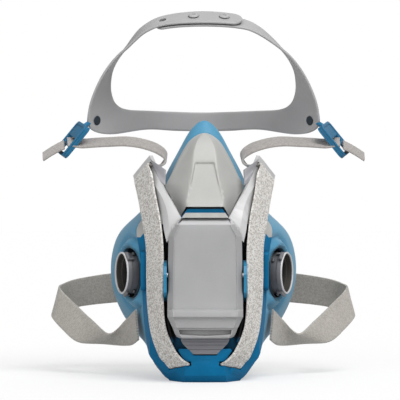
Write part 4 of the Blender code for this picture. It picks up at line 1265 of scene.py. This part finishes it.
def studio():
    """Pale floor, soft lights, white surround and the camera in front."""
    scene = bpy.context.scene
    corners = [(-4000, -3000, 0), (4000, -3000, 0), (4000, 6000, 0), (-4000, 6000, 0)]
    floor = mesh_object("studio_floor", corners, [(0, 1, 2, 3)])
    f = Finish("studio_floor_paper")
    seen = f.node("LightPath", {}).outputs["Is Camera Ray"]
    f.set(Base_Color=f.mix(seen, scaled(WHITE, 0.62), scaled(WHITE, 0.50)), Roughness=0.9,
          Specular_IOR_Level=0.1, Emission_Color=WHITE, Emission_Strength=f.times(seen, 0.46))
    floor.data.materials.append(f.mat)
    world = bpy.data.worlds.new("studio")
    scene.world = world
    world.use_nodes = True
    tree = world.node_tree
    seen, glow = tree.nodes.new("ShaderNodeBackground"), tree.nodes["Background"]
    for node, strength in ((seen, 1.0), (glow, 0.30)):
        node.inputs["Color"].default_value = WHITE
        node.inputs["Strength"].default_value = strength
    choice = tree.nodes.new("ShaderNodeMixShader")
    ray = tree.nodes.new("ShaderNodeLightPath")
    tree.links.new(ray.outputs["Is Camera Ray"], choice.inputs["Fac"])
    tree.links.new(glow.outputs[0], choice.inputs[1])
    tree.links.new(seen.outputs[0], choice.inputs[2])
    tree.links.new(choice.outputs[0], tree.nodes["World Output"].inputs["Surface"])
    for name, place, angle, power in LAMPS:
        sun = bpy.data.lights.new(name, "SUN")
        sun.angle = math.radians(angle)
        sun.energy = power
        lamp = bpy.data.objects.new(name, sun)
        lamp.rotation_euler = Vector(place).to_track_quat("Z", "Y").to_euler()
        scene.collection.objects.link(lamp)
    camera = bpy.data.objects.new("camera", bpy.data.cameras.new("camera"))
    scene.collection.objects.link(camera)
    camera.location = CAMERA_PLACE
    camera.rotation_euler = (math.radians(90), 0, math.radians(CAMERA_TURN))
    camera.data.lens = CAMERA_LENS
    camera.data.sensor_width = 36.0
    camera.data.clip_start = 0.05
    scene.camera = camera
    scene.view_settings.view_transform = "Standard"


def build():
    """Make every piece."""
    grey = moulded("shell_grey", (180, 180, 177), 0.36)
    yoke_grey = moulded("yoke_grey", (196, 196, 196), 0.34)
    # Darker copy of the yoke grey for the webs: painted shade on the side walls.
    web_painted_shade_grey = moulded("web_painted_shade_grey", (150, 150, 154), 0.4, 0.1)
    # The cover's top bevel above 88.1 mm gets a painted highlight.
    cover_grey = moulded("cover_grey", (168, 168, 169), 0.38, bevel=0.0881)
    # The chin blue carries painted shadow beside the cover and painted shade in its gaps.
    blue = moulded("chin_blue", (0, 106, 152), 0.48, 0.15, reach=0.007, dark=0.9, specular=0.15,
                   painted_well_shade=True)
    # Darker copy of the port plastic: painted shade inside the port.
    bore = moulded("port_bore_painted_shade", (60, 57, 53), 0.6, 0.1, reach=0.008)
    duct_grey = moulded("duct_grey", (134, 134, 139), 0.5, 0.1, reach=0.004, dark=0.4)
    # Lighter copy of the housing blue: painted light on the hinge ears.
    ear_painted_light_blue = moulded("ear_painted_light_blue", (32, 124, 164), 0.30, 0.4, reach=0.005, dark=0.8)
    light_blue = moulded("buckle_blue", (22, 106, 146), 0.38, 0.3)
    dark = moulded("port_grey", (116, 115, 118), 0.38, 0.5, reach=0.012, dark=0.85)
    # Pale copy of the port plastic: painted highlight on the port lip.
    lip_painted_highlight = moulded("port_lip_painted_highlight", (205, 205, 206), 0.30, 0.3)
    cradle = moulded("cradle_grey", (172, 171, 172), 0.46, 0.10, 0.05)
    cup = silicone("cup_blue", (80, 146, 180), (136, 182, 206))
    heather = woven("heather_webbing", (246, 243, 238), (146, 138, 129), 0.80, 0.62, 0.72)
    ribbed = woven("ribbed_webbing", (178, 173, 169), (134, 127, 122), 1.4, 0.8, 0.45, 0.5)
    neck = woven("neck_webbing", (192, 188, 181), (136, 130, 122), 0.8, 0.6, 0.4, 0.45)
    # Near-black rubber for the port sleeves and buckle sockets: painted shadow where only shade shows.
    painted_well_shade = rubber("port_well_painted_shade", (30, 44, 54), 0.6)
    thread = rubber("thread", (205, 200, 192), 0.8)
    face_seal(cup)
    nose_shell(grey)
    chin_housing(blue)
    exhaust_duct(duct_grey)
    cover_shell(cover_grey)
    latch_yoke(yoke_grey, web_painted_shade_grey)
    head_cradle(cradle)
    for index in (0, 1):
        crown_stud(index, cradle)
    for side in SIDES:
        tag = side_name(side)
        port(side, dark, (bore, painted_well_shade), lip_painted_highlight)
        buckle(side, light_blue, painted_well_shade)
        front_strap(side, heather)
        upper_strap(side, ribbed)
        strap_tail(side, ribbed)
        neck_strap(side, neck)
        finish_node("hinge_ear_" + tag, ear_painted_light_blue, 0.35)
        finish_node("pivot_pin_" + tag, steel("pin_steel_" + tag), 0.25)
        finish_node("port_gasket_" + tag, rubber("gasket_" + tag, (38, 38, 38), 0.6), 0.25)
        finish_node("inlet_spider_" + tag, dark, 0.2)
        finish_node("inhalation_valve_" + tag, rubber("flap_" + tag, (190, 178, 140), 0.5, 0.2), 0.12)
        rows = [((x, 77.55, 43.0), (x, 77.55, 57.0), (0, 1, 0), 7) for x in (side * 15.0, side * 18.2)]
        stitches(f"neck_stitch_{tag}", rows, "neck_hook" if side < 0 else "facepiece", thread)
    outlet_flap = rubber("outlet_flap", (190, 178, 140), 0.5, 0.2)
    for name, look, width in (("nose_trim", blue, 0.25), ("valve_seat", dark, 0.3),
                              ("exhalation_valve", outlet_flap, 0.12), ("latch_catch", grey, 0.4),
                              ("neck_clasp_loop", dark, 0.5), ("neck_clasp_hook", dark, 0.5)):
        finish_node(name, look, width)


build()
studio()
bpy.context.view_layer.update()
